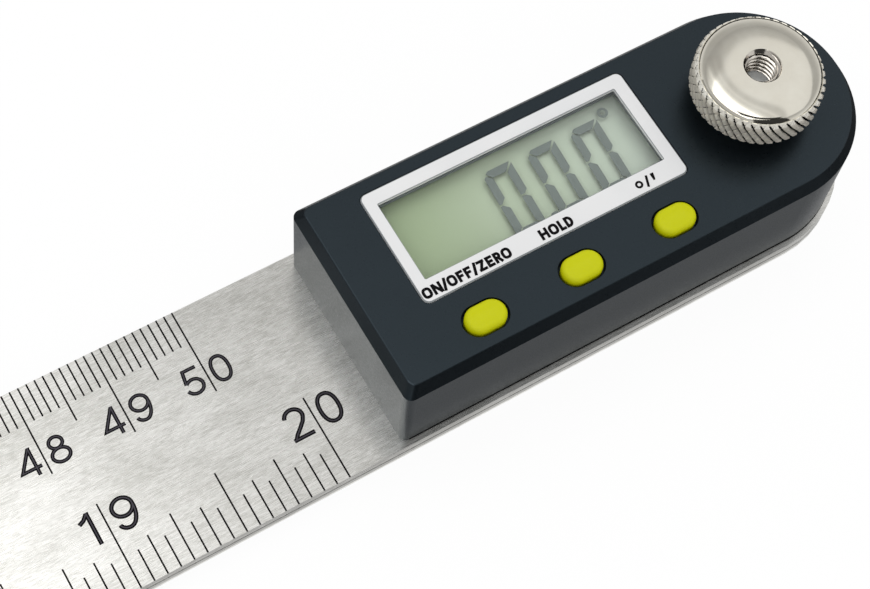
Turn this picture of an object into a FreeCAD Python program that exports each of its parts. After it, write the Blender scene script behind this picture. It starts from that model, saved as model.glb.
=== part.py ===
import FreeCAD, Part
import math
import os
import re
import Sketcher

# Folding angle finder: two flat rulers on one pivot, and a display housing at the pivot end.
# Millimetres. The origin is on the pivot axis, in the plane that the lower ruler rests on.
# +X runs along the rulers from their free end towards the pivot, and +Z is up.

doc = FreeCAD.newDocument("AngleFinder")

# Driving sizes. Each one is written here once, and everything else is worked out from them.
SIZES = {
    # Rulers
    "blade_reach": 567.5,
    "blade_width": 27.0,
    "blade_thick": 1.2,
    "blade_gap": 0.2,
    "blade_corner": 1.5,
    # Housing
    "housing_reach": 52.5,
    "housing_corner": 1.0,
    "housing_wall": 1.6,
    "roof_thick": 1.5,
    "bevel_wide": 0.9,
    "bevel_high": 1.55,
    "bevel_round": 0.2,
    # Clearances
    "running_gap": 0.04,
    "seat_gap": 0.05,
    "cap_gap": 0.2,
    "inner_gap": 0.5,
    "overrun": 1.0,
    # Display
    "display_gap": 0.56,
    "bezel_far_margin": 2.45,
    "key_strip_wide": 8.35,
    "bezel_corner": 0.9,
    "bezel_thick": 0.45,
    "bezel_proud": 0.15,
    "bezel_side": 1.65,
    "bezel_brow": 1.8,
    "bezel_foot": 2.7,
    "window_ledge": 0.35,
    "lens_thick": 0.55,
    "glass_end_inset": 0.2,
    "glass_side_inset": 0.15,
    "glass_thick": 0.9,
    "glass_step": 1.8,
    "backing_thick": 0.3,
    "strip_wide": 1.2,
    "strip_high": 3.3,
    "strip_inset": 0.9,
    # Buttons
    "key_pitch_share": 0.3567,
    "key_gap": 0.3,
    "cap_long": 5.2,
    "cap_wide": 3.5,
    "cap_proud": 0.9,
    "cap_round": 0.7,
    "cap_flange": 0.45,
    "cap_flange_thick": 0.7,
    "button_travel": 0.5,
    "stem_radius": 1.0,
    "plunger_radius": 0.9,
    "plunger_high": 1.0,
    "switch_side": 4.0,
    "switch_high": 1.5,
    "switch_floor": 0.2,
    # Circuit board
    "board_thick": 1.0,
    "board_lift": 1.45,
    "nose_rim": 1.0,
    "eye_rim": 0.7,
    "blob_radius": 3.4,
    "blob_high": 1.1,
    "blob_round_share": 0.9,
    "quartz_radius": 0.9,
    "quartz_long": 5.6,
    "chip_long": 1.6,
    "chip_wide": 0.8,
    "chip_pitch": 2.2,
    # Housing screws and board screws
    "boss_radius": 2.1,
    "boss_margin": 4.34,
    "boss_inset": 3.9,
    "screw_radius": 1.0,
    "screw_head_radius": 1.9,
    "screw_head_high": 0.9,
    "screw_long": 7.0,
    "board_boss_radius": 1.3,
    "board_screw_radius": 0.7,
    "board_screw_head_radius": 1.3,
    "board_screw_head_high": 0.7,
    "board_screw_long": 4.0,
    # Pivot
    "stud_radius": 3.0,
    "stud_lip": 1.0,
    "stud_flat_deep": 0.5,
    "stud_drop": 0.2,
    "thread_radius": 1.6,
    "thread_long": 3.9,
    "groove_depth": 0.55,
    "washer_radius": 8.0,
    "washer_thick": 0.15,
    "bushing_wall": 1.2,
    "bushing_flange": 1.3,
    "bushing_flange_thick": 0.5,
    "spring_wide": 1.8,
    "spring_thick": 0.25,
    "clip_thick": 0.6,
    "clip_wide": 2.3,
    "clip_mouth": 3.4,
    "hub_lift": 0.3,
    "hub_step": 1.3,
    "spigot_wall": 0.86,
    "rotor_radius": 8.7,
    "rotor_thick": 0.8,
    "rotor_gap": 0.3,
    # Lock knob
    "thrust_radius": 4.4,
    "thrust_thick": 0.5,
    "knob_radius": 7.5,
    "knob_neck_radius": 4.2,
    "knob_neck_high": 2.1,
    "knob_band_high": 2.7,
    "knob_rim_wide": 0.3,
    "knob_rim_high": 1.05,
    "knob_foot_bevel": 0.3,
    "knob_dome_high": 0.95,
    "knob_sink_wide": 0.56,
    "knob_sink": 0.55,
    # Battery, its holder, contacts and cover
    "coin_radius": 10.0,
    "coin_thick": 3.2,
    "coin_lift": 0.3,
    "holder_gap": 0.25,
    "holder_side": 0.5,
    "holder_end": 1.4,
    "holder_roof": 0.8,
    "post_radius": 1.0,
    "post_inset": 1.7,
    "post_shift": 5.0,
    "contact_space": 0.5,
    "contact_thick": 0.2,
    "contact_radius": 4.0,
    "tab_wide": 2.6,
    "tab_shift": 5.0,
    "clamp_wide": 4.0,
    "cover_rim": 0.9,
    "cover_wall": 0.65,
    "cover_gap": 0.25,
    "lug_reach": 1.0,
    "lug_wide": 4.6,
    "lug_thick": 0.5,
    "lug_gap": 0.2,
    "notch_turn": 45.0,
    "slot_long": 12.0,
    "slot_wide": 1.6,
    "slot_deep": 0.6,
    "seal_radius": 0.28,
    "seal_proud": 0.1,
}

# Places that follow from the sizes, as formulas in a second sheet. The coin cell and its holder
# set the housing's width, and the stack from the cell up to the window sets its height.
PLACES = {
    "upper_base": "blade_thick + blade_gap",
    "upper_top": "upper_base + blade_thick",
    "pocket_radius": "coin_radius + holder_gap",
    "holder_long": "2 * (pocket_radius + holder_end)",
    "holder_wide": "2 * (pocket_radius + holder_side)",
    "cavity_radius": "holder_wide / 2 + inner_gap",
    "cavity_reach": "housing_reach - housing_wall",
    "housing_radius": "cavity_radius + housing_wall",
    "coin_base": "upper_top + coin_lift",
    "coin_top": "coin_base + coin_thick",
    "pocket_top": "coin_top + contact_space",
    "holder_top": "pocket_top + holder_roof",
    "board_base": "holder_top + board_lift",
    "board_top": "board_base + board_thick",
    "ledge_base": "board_top + 2 * seat_gap + strip_high",
    "glass_base": "ledge_base - glass_thick",
    "glass_top": "ledge_base + glass_thick",
    "roof_base": "glass_top + seat_gap",
    "roof_top": "roof_base + roof_thick",
    "housing_high": "roof_top - upper_top",
    "cavity_high": "roof_base - upper_top",
    "nose_radius": "rotor_radius + nose_rim",
    "boss_shift": "housing_radius - boss_inset",
    "boss_far": "housing_reach - boss_margin",
    "boss_near": "sqrt((nose_radius + inner_gap + boss_radius) ^ 2 - boss_shift ^ 2)",
    "bay_far": "boss_far - boss_radius",
    "bay_near": "boss_near + boss_radius",
    "bay_offset": "(bay_far + bay_near) / 2",
    "board_long": "bay_far - bay_near - 2 * inner_gap",
    "board_wide": "2 * (cavity_radius - inner_gap)",
    "neck_wide": "2 * (boss_shift - boss_radius - inner_gap)",
    "bezel_long": "bay_far - bay_near - 2 * display_gap",
    "bezel_wide": "2 * housing_radius - bezel_far_margin - key_strip_wide",
    "display_shift": "(key_strip_wide - bezel_far_margin) / 2",
    "window_long": "bezel_long - 2 * bezel_side",
    "window_wide": "bezel_wide - bezel_brow - bezel_foot",
    "window_shift": "(bezel_foot - bezel_brow) / 2",
    "recess_deep": "bezel_thick + lens_thick + seat_gap - bezel_proud",
    "lens_base": "roof_top - recess_deep",
    "bezel_base": "lens_base + lens_thick + seat_gap",
    "glass_long": "bezel_long - 2 * glass_end_inset",
    "glass_wide": "bezel_wide - 2 * glass_side_inset",
    "button_pitch": "bezel_long * key_pitch_share",
    "button_shift": "cavity_radius - cap_wide / 2 - cap_flange - key_gap",
    "cap_flange_base": "roof_base - seat_gap - cap_flange_thick",
    "plunger_top": "board_top + switch_high + plunger_high",
    "plunger_base": "board_top + switch_floor + button_travel + seat_gap",
    "stem_base": "plunger_top + running_gap",
    "bushing_bore": "stud_radius + running_gap",
    "bushing_radius": "bushing_bore + bushing_wall",
    "flange_top": "upper_top + bushing_flange_thick",
    "stud_head_radius": "stud_radius + stud_lip",
    "stud_flat": "stud_radius - stud_flat_deep",
    "clip_base": "flange_top + spring_thick + seat_gap",
    "groove_radius": "stud_radius - groove_depth",
    "hub_base": "clip_base + clip_thick + hub_lift",
    "spigot_radius": "bushing_bore + spigot_wall",
    "rotor_top": "board_base - rotor_gap",
    "rotor_base": "rotor_top - rotor_thick",
    "shoulder": "roof_top - stud_drop",
    "thrust_base": "roof_top + seat_gap",
    "knob_base": "thrust_base + thrust_thick + seat_gap",
    "knob_bore": "thread_radius + running_gap",
    "cover_radius": "coin_radius + cover_rim",
    "cover_hole": "cover_radius + cover_gap",
    "lug_end": "cover_radius + lug_reach",
    "lug_corner": "sqrt(lug_end ^ 2 + lug_wide ^ 2 / 4)",
    "lug_base": "upper_top + seat_gap",
    "lug_top": "lug_base + lug_thick",
}

# Buttons by name, with each one's place in the row.
BUTTONS = {"zero": -1, "hold": 0, "unit": 1}

# Screws that hold the housing to the upper ruler, and screws that hold the circuit board.
SCREW_CORNERS = {
    "far_left": ("0 - boss_far", "boss_shift"),
    "far_right": ("0 - boss_far", "0 - boss_shift"),
    "near_left": ("0 - boss_near", "boss_shift"),
    "near_right": ("0 - boss_near", "0 - boss_shift"),
}
BOARD_SCREWS = {
    "far": "0 - bay_offset - button_pitch / 2",
    "near": "0 - bay_offset + button_pitch / 2",
}
BOARD_SCREW_ROW = "0 - button_shift"

CHIP_COUNT = 4
QUARTER_TURN = math.pi / 2


def button_place(count):
    return f"0 - bay_offset + {count} * button_pitch"


sizes = doc.addObject("Spreadsheet::Sheet", "Sizes")
for row, (name, value) in enumerate(SIZES.items(), start=1):
    sizes.set(f"A{row}", name)
    sizes.set(f"B{row}", str(value))
    sizes.setAlias(f"B{row}", name)
doc.recompute()


def linked(words):
    """Turn the bare names in a formula into references to their cells."""
    def cell(found):
        word = found.group()
        sheet = "Sizes." if word in SIZES else "Places." if word in PLACES else ""
        return sheet + word
    return re.sub(r"[a-z_]+", cell, words)


places = doc.addObject("Spreadsheet::Sheet", "Places")
for row, (name, words) in enumerate(PLACES.items(), start=1):
    places.set(f"A{row}", name)
    places.setAlias(f"B{row}", name)
for row, (name, words) in enumerate(PLACES.items(), start=1):
    places.set(f"B{row}", "=" + linked(words).replace("Places.", ""))
doc.recompute()


def value_of(words):
    """The number that a formula gives now, to draw a sketch near its final shape."""
    return float(sizes.evalExpression(linked(words)))


parts = []


def keep(thing, label):
    """Register a finished sub-part under the name of its node."""
    thing.Label = label
    parts.append(thing)
    return thing


def place(thing, x="0", y="0", z="0"):
    """Bind an object's place to formulas."""
    for axis, words in (("x", x), ("y", y), ("z", z)):
        if words != "0":
            thing.setExpression(f"Placement.Base.{axis}", linked(words))
    return thing


# Part primitives and booleans

def box(name, long, wide, high, x="0", y="0", z="0"):
    """A block centred on x and y, with its base at z."""
    block = doc.addObject("Part::Box", name)
    block.setExpression("Length", linked(long))
    block.setExpression("Width", linked(wide))
    block.setExpression("Height", linked(high))
    return place(block, f"{x} - ({long}) / 2", f"{y} - ({wide}) / 2", z)


def rod(name, radius, high, x="0", y="0", z="0"):
    """An upright cylinder with its base at z."""
    cylinder = doc.addObject("Part::Cylinder", name)
    cylinder.setExpression("Radius", linked(radius))
    cylinder.setExpression("Height", linked(high))
    return place(cylinder, x, y, z)


def cut(name, base, tool):
    result = doc.addObject("Part::Cut", name)
    result.Base = base
    result.Tool = tool
    return result


def joined(name, *shapes):
    result = doc.addObject("Part::MultiFuse", name)
    result.Shapes = list(shapes)
    return result


def group(name, *shapes):
    """Separate solids that share one node."""
    result = doc.addObject("Part::Compound", name)
    result.Links = list(shapes)
    return result


def ring(name, outer, inner, high, x="0", y="0", z="0"):
    """A washer or sleeve standing at z."""
    disc = rod(name + "_disc", outer, high, x, y, z)
    eye = rod(name + "_eye", inner, f"{high} + 2 * overrun", x, y, f"{z} - overrun")
    return cut(name, disc, eye)


# PartDesign bodies, their sketches and features

def new_body(label):
    return keep(doc.addObject("PartDesign::Body", label), label)


def origin_part(body, role):
    return next(thing for thing in body.Origin.OriginFeatures if thing.Role == role)


def new_sketch(body, name, role="XY_Plane", x="0", y="0", z="0"):
    """A sketch on an origin plane of its body, moved by formulas."""
    sketch = body.newObject("Sketcher::SketchObject", name)
    sketch.AttachmentSupport = (origin_part(body, role), [""])
    sketch.MapMode = "FlatFace"
    for axis, words in (("x", x), ("y", y), ("z", z)):
        if words != "0":
            sketch.setExpression(f"AttachmentOffset.Base.{axis}", linked(words))
    return sketch


def rule(sketch, kind, *terms, words=None):
    """Add a constraint, with its size bound to a formula where it has one."""
    if words is None:
        return sketch.addConstraint(Sketcher.Constraint(kind, *terms))
    index = sketch.addConstraint(Sketcher.Constraint(kind, *terms, value_of(words)))
    sketch.setExpression(f"Constraints[{index}]", linked(words))
    return index


def point(x, y):
    return FreeCAD.Vector(x, y, 0)


def draw_circle(sketch, radius):
    circle = sketch.addGeometry(Part.Circle(point(0, 0), FreeCAD.Vector(0, 0, 1), value_of(radius)))
    rule(sketch, "Coincident", circle, 3, -1, 1)
    rule(sketch, "Radius", circle, words=radius)


def draw_rectangle(sketch, long, wide):
    """A rectangle centred on the sketch's origin."""
    half_x = value_of(long) / 2
    half_y = value_of(wide) / 2
    corners = [point(-half_x, -half_y), point(half_x, -half_y),
               point(half_x, half_y), point(-half_x, half_y)]
    sides = [sketch.addGeometry(Part.LineSegment(corners[i], corners[(i + 1) % 4])) for i in range(4)]
    for i in range(4):
        rule(sketch, "Coincident", sides[i], 2, sides[(i + 1) % 4], 1)
        rule(sketch, "Vertical" if i % 2 else "Horizontal", sides[i])
    rule(sketch, "Symmetric", sides[0], 1, sides[1], 2, -1, 1)
    rule(sketch, "DistanceX", sides[0], 1, sides[0], 2, words=long)
    rule(sketch, "DistanceY", sides[1], 1, sides[1], 2, words=wide)


def draw_stadium(sketch, long, wide):
    """A rectangle with half-round ends, centred on the sketch's origin."""
    radius = value_of(wide) / 2
    run = value_of(long) / 2 - radius
    normal = FreeCAD.Vector(0, 0, 1)
    lower = sketch.addGeometry(Part.LineSegment(point(-run, -radius), point(run, -radius)))
    right = Part.Circle(point(run, 0), normal, radius)
    right = sketch.addGeometry(Part.ArcOfCircle(right, -QUARTER_TURN, QUARTER_TURN))
    upper = sketch.addGeometry(Part.LineSegment(point(run, radius), point(-run, radius)))
    left = Part.Circle(point(-run, 0), normal, radius)
    left = sketch.addGeometry(Part.ArcOfCircle(left, QUARTER_TURN, 3 * QUARTER_TURN))
    rule(sketch, "Tangent", lower, 2, right, 1)
    rule(sketch, "Tangent", right, 2, upper, 1)
    rule(sketch, "Tangent", upper, 2, left, 1)
    rule(sketch, "Tangent", left, 2, lower, 1)
    rule(sketch, "Horizontal", lower)
    rule(sketch, "Symmetric", left, 3, right, 3, -1, 1)
    rule(sketch, "Radius", right, words=f"({wide}) / 2")
    rule(sketch, "DistanceX", left, 3, right, 3, words=f"({long}) - ({wide})")


def draw_tongue(sketch, reach, radius, corner):
    """A flat end at -X with rounded corners, and a half-round end about the origin."""
    far = value_of(reach)
    half = value_of(radius)
    bend = value_of(corner)
    normal = FreeCAD.Vector(0, 0, 1)
    lower = sketch.addGeometry(Part.LineSegment(point(bend - far, -half), point(0, -half)))
    nose = Part.ArcOfCircle(Part.Circle(point(0, 0), normal, half), -QUARTER_TURN, QUARTER_TURN)
    nose = sketch.addGeometry(nose)
    upper = sketch.addGeometry(Part.LineSegment(point(0, half), point(bend - far, half)))
    first = Part.Circle(point(bend - far, half - bend), normal, bend)
    first = sketch.addGeometry(Part.ArcOfCircle(first, QUARTER_TURN, 2 * QUARTER_TURN))
    end = sketch.addGeometry(Part.LineSegment(point(-far, half - bend), point(-far, bend - half)))
    second = Part.Circle(point(bend - far, bend - half), normal, bend)
    second = sketch.addGeometry(Part.ArcOfCircle(second, 2 * QUARTER_TURN, 3 * QUARTER_TURN))
    loop = [lower, nose, upper, first, end, second]
    for i in range(6):
        rule(sketch, "Tangent", loop[i], 2, loop[(i + 1) % 6], 1)
    rule(sketch, "Coincident", nose, 3, -1, 1)
    rule(sketch, "Vertical", end)
    rule(sketch, "Equal", first, second)
    rule(sketch, "Radius", first, words=corner)
    rule(sketch, "Radius", nose, words=radius)
    rule(sketch, "DistanceX", end, 1, -1, 1, words=reach)


def draw_profile(sketch, corners, dome=None):
    """A closed outline through (radius, height) pairs of formulas.

    Its sides are straight, but the side that starts at corner number dome is
    an arc whose centre is on the upright axis.
    """
    count = len(corners)
    dots = [point(value_of(x), value_of(y)) for x, y in corners]
    sides = []
    for i, start in enumerate(dots):
        end = dots[(i + 1) % count]
        side = Part.LineSegment(start, end)
        if i == dome:
            rise = (start.x ** 2 + start.y ** 2 - end.x ** 2 - end.y ** 2) / (2 * (start.y - end.y))
            centre = point(0, rise)
            middle = start + (end - start) / 2 - centre
            middle = centre + middle * (start.distanceToPoint(centre) / middle.Length)
            side = Part.Arc(start, middle, end)
        sides.append(sketch.addGeometry(side))
    # An arc is stored counter-clockwise, so the dome's start and end are its first and second point.
    for i, (x, y) in enumerate(corners):
        rule(sketch, "Coincident", sides[i - 1], 2, sides[i], 1)
        if x == "0":
            rule(sketch, "PointOnObject", sides[i], 1, -2)
        else:
            rule(sketch, "DistanceX", -1, 1, sides[i], 1, words=x)
        if y == "0":
            rule(sketch, "PointOnObject", sides[i], 1, -1)
        else:
            rule(sketch, "DistanceY", -1, 1, sides[i], 1, words=y)
    if dome is not None:
        rule(sketch, "PointOnObject", sides[dome], 3, -2)


def pad(body, sketch, high):
    feature = body.newObject("PartDesign::Pad", sketch.Name + "_pad")
    feature.Profile = sketch
    feature.setExpression("Length", linked(high))
    doc.recompute()
    return feature


def pocket(body, sketch, deep, upward=True):
    """Cut from the sketch's plane, and make sure that material went."""
    before = body.Shape.Volume
    feature = body.newObject("PartDesign::Pocket", sketch.Name + "_pocket")
    feature.Profile = sketch
    feature.Reversed = upward
    feature.setExpression("Length", linked(deep))
    doc.recompute()
    if body.Shape.Volume >= before:
        raise RuntimeError(f"{feature.Name} cuts nothing")
    return feature


def turned(body, sketch, solid=True):
    """Turn a profile about its sketch's upright axis, to add a solid or to cut one away."""
    before = body.Shape.Volume if not solid else 0.0
    kind = "PartDesign::Revolution" if solid else "PartDesign::Groove"
    feature = body.newObject(kind, sketch.Name + "_turn")
    feature.Profile = sketch
    feature.ReferenceAxis = (sketch, ["V_Axis"])
    feature.Angle = 360
    doc.recompute()
    if not solid and body.Shape.Volume >= before:
        raise RuntimeError(f"{feature.Name} cuts nothing")
    return feature


def fillet(body, name, radius, wanted):
    """Round the edges of the body that pass a test."""
    base = body.Tip
    names = [f"Edge{i}" for i, edge in enumerate(base.Shape.Edges, start=1) if wanted(edge)]
    feature = body.newObject("PartDesign::Fillet", name)
    feature.Base = (base, names)
    feature.setExpression("Radius", linked(radius))
    doc.recompute()
    return feature


def level(edge, height):
    """True for an edge that lies all at one height."""
    bounds = edge.BoundBox
    near = value_of("running_gap") / 2
    return abs(bounds.ZMin - height) < near and abs(bounds.ZMax - height) < near


# Rulers

def draw_blade(body, name):
    outline = new_sketch(body, name + "_outline")
    draw_tongue(outline, "blade_reach", "blade_width / 2", "blade_corner")
    pad(body, outline, "blade_thick")


def make_lower_blade():
    body = new_body("lower_blade")
    draw_blade(body, "lower")
    eye = new_sketch(body, "lower_eye")
    draw_circle(eye, "stud_head_radius + running_gap")
    pocket(body, eye, "blade_thick + overrun")


def make_upper_blade():
    body = place(new_body("upper_blade"), z="upper_base")
    draw_blade(body, "upper")
    eye = new_sketch(body, "upper_eye")
    draw_circle(eye, "bushing_radius + running_gap")
    pocket(body, eye, "blade_thick + overrun")
    door = new_sketch(body, "door", x="0 - bay_offset")
    draw_circle(door, "cover_hole")
    pocket(body, door, "blade_thick + overrun")
    notch = new_sketch(body, "lug_notches", x="0 - bay_offset")
    notch.setExpression("AttachmentOffset.Rotation.Angle", linked("notch_turn"))
    draw_rectangle(notch, "2 * lug_end + 2 * cover_gap", "lug_wide + 2 * cover_gap")
    pocket(body, notch, "blade_thick + overrun")
    for corner, (x, y) in SCREW_CORNERS.items():
        sink = new_sketch(body, "sink_" + corner, role="XZ_Plane", x=x, z=f"0 - ({y})")
        draw_profile(sink, [("0", "0"), ("screw_head_radius + seat_gap", "0"),
                            ("screw_radius + seat_gap", "screw_head_high"),
                            ("screw_radius + seat_gap", "blade_thick"), ("0", "blade_thick")])
        turned(body, sink, solid=False)


# Housing, with its bosses, window and holes

def make_housing():
    body = place(new_body("housing_shell"), z="upper_top")
    wall = new_sketch(body, "housing_wall_outline")
    draw_tongue(wall, "housing_reach", "housing_radius", "housing_corner")
    pad(body, wall, "housing_high - bevel_high")
    foot = new_sketch(body, "bevel_foot", z="housing_high - bevel_high")
    draw_tongue(foot, "housing_reach", "housing_radius", "housing_corner")
    brow = new_sketch(body, "bevel_brow", z="housing_high")
    draw_tongue(brow, "housing_reach - bevel_wide", "housing_radius - bevel_wide", "housing_corner")
    bevel = body.newObject("PartDesign::AdditiveLoft", "bevel")
    bevel.Profile = foot
    bevel.Sections = [brow]
    bevel.Ruled = True
    doc.recompute()
    crown = value_of("housing_high")
    fillet(body, "brow_round", "bevel_round", lambda edge: level(edge, crown))
    cavity = new_sketch(body, "cavity")
    draw_tongue(cavity, "cavity_reach", "cavity_radius", "housing_corner / 2")
    pocket(body, cavity, "cavity_high")
    for corner, (x, y) in SCREW_CORNERS.items():
        boss = new_sketch(body, "boss_" + corner, x=x, y=y)
        draw_circle(boss, "boss_radius")
        pad(body, boss, "cavity_high + roof_thick / 2")
        pilot = new_sketch(body, "pilot_" + corner, x=x, y=y)
        draw_circle(pilot, "screw_radius + running_gap")
        pocket(body, pilot, "screw_long")
    for side, x in BOARD_SCREWS.items():
        boss = new_sketch(body, "board_boss_" + side, x=x, y=BOARD_SCREW_ROW,
                          z="board_top - upper_top")
        draw_circle(boss, "board_boss_radius")
        pad(body, boss, "roof_base - board_top + roof_thick / 2")
        pilot = new_sketch(body, "board_pilot_" + side, x=x, y=BOARD_SCREW_ROW,
                           z="board_top - upper_top")
        draw_circle(pilot, "board_screw_radius + running_gap")
        pocket(body, pilot, "board_screw_long - board_thick + overrun / 2")
    recess = new_sketch(body, "bezel_recess", x="0 - bay_offset", y="display_shift",
                        z="lens_base - upper_top")
    draw_rectangle(recess, "bezel_long + 2 * seat_gap", "bezel_wide + 2 * seat_gap")
    pocket(body, recess, "recess_deep + overrun")
    depth = value_of("recess_deep")
    near = value_of("running_gap") / 2
    fillet(body, "recess_corners", "bezel_corner + seat_gap",
           lambda edge: abs(edge.BoundBox.ZLength - depth) < near and edge.BoundBox.DiagonalLength < depth + near)
    window = new_sketch(body, "window", x="0 - bay_offset", y="display_shift + window_shift",
                        z="cavity_high - overrun")
    draw_rectangle(window, "window_long + 2 * window_ledge", "window_wide + 2 * window_ledge")
    pocket(body, window, "roof_thick + 2 * overrun")
    for label, count in BUTTONS.items():
        hole = new_sketch(body, label + "_hole", x=button_place(count), y="0 - button_shift",
                          z="cavity_high - overrun")
        draw_stadium(hole, "cap_long + 2 * cap_gap", "cap_wide + 2 * cap_gap")
        pocket(body, hole, "roof_thick + 2 * overrun")
    eye = new_sketch(body, "stud_eye", z="cavity_high - overrun")
    draw_circle(eye, "bushing_radius + running_gap")
    pocket(body, eye, "roof_thick + 2 * overrun")


# Display stack, from the printed frame down to the circuit board

def make_display():
    body = place(new_body("display_bezel"), "0 - bay_offset", "display_shift", "bezel_base")
    frame = new_sketch(body, "bezel_outline")
    draw_rectangle(frame, "bezel_long", "bezel_wide")
    pad(body, frame, "bezel_thick")
    upright = value_of("bezel_thick")
    fillet(body, "bezel_corners", "bezel_corner",
           lambda edge: abs(edge.BoundBox.ZLength - upright) < upright / 2)
    opening = new_sketch(body, "bezel_window", y="window_shift")
    draw_rectangle(opening, "window_long", "window_wide")
    pocket(body, opening, "bezel_thick + overrun")
    body = place(new_body("display_lens"), "0 - bay_offset", "display_shift", "lens_base + seat_gap / 2")
    sheet = new_sketch(body, "lens_outline")
    draw_rectangle(sheet, "bezel_long", "bezel_wide")
    pad(body, sheet, "lens_thick")
    upright = value_of("lens_thick")
    fillet(body, "lens_corners", "bezel_corner",
           lambda edge: abs(edge.BoundBox.ZLength - upright) < upright / 2)
    body = place(new_body("display_glass"), "0 - bay_offset", "display_shift", "glass_base")
    upper = new_sketch(body, "upper_glass", z="glass_thick")
    draw_rectangle(upper, "glass_long", "glass_wide")
    pad(body, upper, "glass_thick")
    lower = new_sketch(body, "lower_glass")
    draw_rectangle(lower, "glass_long", "glass_wide - 2 * glass_step")
    pad(body, lower, "glass_thick")
    back = box("backing", "glass_long", "glass_wide - 2 * glass_step", "backing_thick",
               "0 - bay_offset", "display_shift", "glass_base - seat_gap - backing_thick")
    keep(back, "display_backing")
    strips = []
    for side, sign in (("near", "-"), ("far", "+")):
        y = f"display_shift {sign} (glass_wide / 2 - glass_step / 2)"
        strips.append(box("strip_" + side, "glass_long - 2 * strip_inset", "strip_wide", "strip_high",
                          "0 - bay_offset", y, "board_top + seat_gap"))
    keep(group("strips", *strips), "contact_strips")


# Circuit board and what is soldered to it

def make_board():
    main = box("board_main", "board_long", "board_wide", "board_thick", "0 - bay_offset", "0", "board_base")
    neck = box("board_neck", "bay_offset", "neck_wide", "board_thick",
               "0 - bay_offset / 2", "0", "board_base")
    nose = rod("board_nose", "nose_radius", "board_thick", z="board_base")
    blank = joined("board_blank", main, neck, nose)
    eye = rod("board_eye", "spigot_radius + eye_rim", "board_thick + 2 * overrun", z="board_base - overrun")
    holes = [eye]
    for side, x in BOARD_SCREWS.items():
        holes.append(rod("board_hole_" + side, "board_screw_radius + seat_gap",
                         "board_thick + 2 * overrun", x, BOARD_SCREW_ROW, "board_base - overrun"))
    keep(cut("board", blank, joined("board_holes", *holes)), "circuit_board")

    screws = []
    for side, x in BOARD_SCREWS.items():
        head = rod("board_head_" + side, "board_screw_head_radius", "board_screw_head_high",
                   x, BOARD_SCREW_ROW, "board_base - board_screw_head_high")
        shank = rod("board_shank_" + side, "board_screw_radius", "board_screw_long",
                    x, BOARD_SCREW_ROW, "board_base")
        screws.append(joined("board_screw_" + side, head, shank))
    keep(group("board_screw_set", *screws), "board_screws")

    body = place(new_body("chip_cap"), "0 - bay_offset - blob_radius", "display_shift", "board_top")
    blob = new_sketch(body, "blob")
    draw_circle(blob, "blob_radius")
    pad(body, blob, "blob_high")
    crown = value_of("blob_high")
    fillet(body, "blob_round", "blob_high * blob_round_share", lambda edge: level(edge, crown))

    can = doc.addObject("Part::Cylinder", "can")
    can.setExpression("Radius", linked("quartz_radius"))
    can.setExpression("Height", linked("quartz_long"))
    can.Placement.Rotation = FreeCAD.Rotation(FreeCAD.Vector(0, 1, 0), 90)
    place(can, "0 - bay_offset + blob_radius", "display_shift + blob_radius", "board_top + quartz_radius")
    keep(can, "quartz_can")

    chips = []
    for count in range(CHIP_COUNT):
        chips.append(box(f"chip_{count}", "chip_long", "chip_wide", "chip_wide",
                         f"0 - bay_offset + blob_radius + {count} * chip_pitch",
                         "display_shift - blob_radius / 2", "board_top"))
    keep(group("chips", *chips), "board_chips")

    housings = []
    for label, count in BUTTONS.items():
        case = box(label + "_switch", "switch_side", "switch_side", "switch_high",
                   button_place(count), "0 - button_shift", "board_top")
        well = rod(label + "_well", "plunger_radius + seat_gap", "switch_high",
                   button_place(count), "0 - button_shift", "board_top + switch_floor")
        housings.append(cut(label + "_switch_case", case, well))
    keep(group("switches", *housings), "button_switches")


def make_buttons():
    for label, count in BUTTONS.items():
        body = place(new_body(label + "_button"), button_place(count), "0 - button_shift", "stem_base")
        flange = new_sketch(body, label + "_flange", z="cap_flange_base - stem_base")
        draw_stadium(flange, "cap_long + 2 * cap_flange", "cap_wide + 2 * cap_flange")
        pad(body, flange, "cap_flange_thick")
        cap = new_sketch(body, label + "_cap", z="cap_flange_base - stem_base")
        draw_stadium(cap, "cap_long", "cap_wide")
        pad(body, cap, "roof_top + cap_proud - cap_flange_base")
        crown = value_of("roof_top + cap_proud - stem_base")
        fillet(body, label + "_dome", "cap_round", lambda edge: level(edge, crown))
        stem = new_sketch(body, label + "_stem")
        draw_circle(stem, "stem_radius")
        pad(body, stem, "cap_flange_base - stem_base")
        plunger = rod(label + "_pin", "plunger_radius", "plunger_top - plunger_base",
                      button_place(count), "0 - button_shift", "plunger_base")
        keep(plunger, label + "_plunger")


# Pivot: stud, bearings, friction parts and the angle rotor

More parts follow.
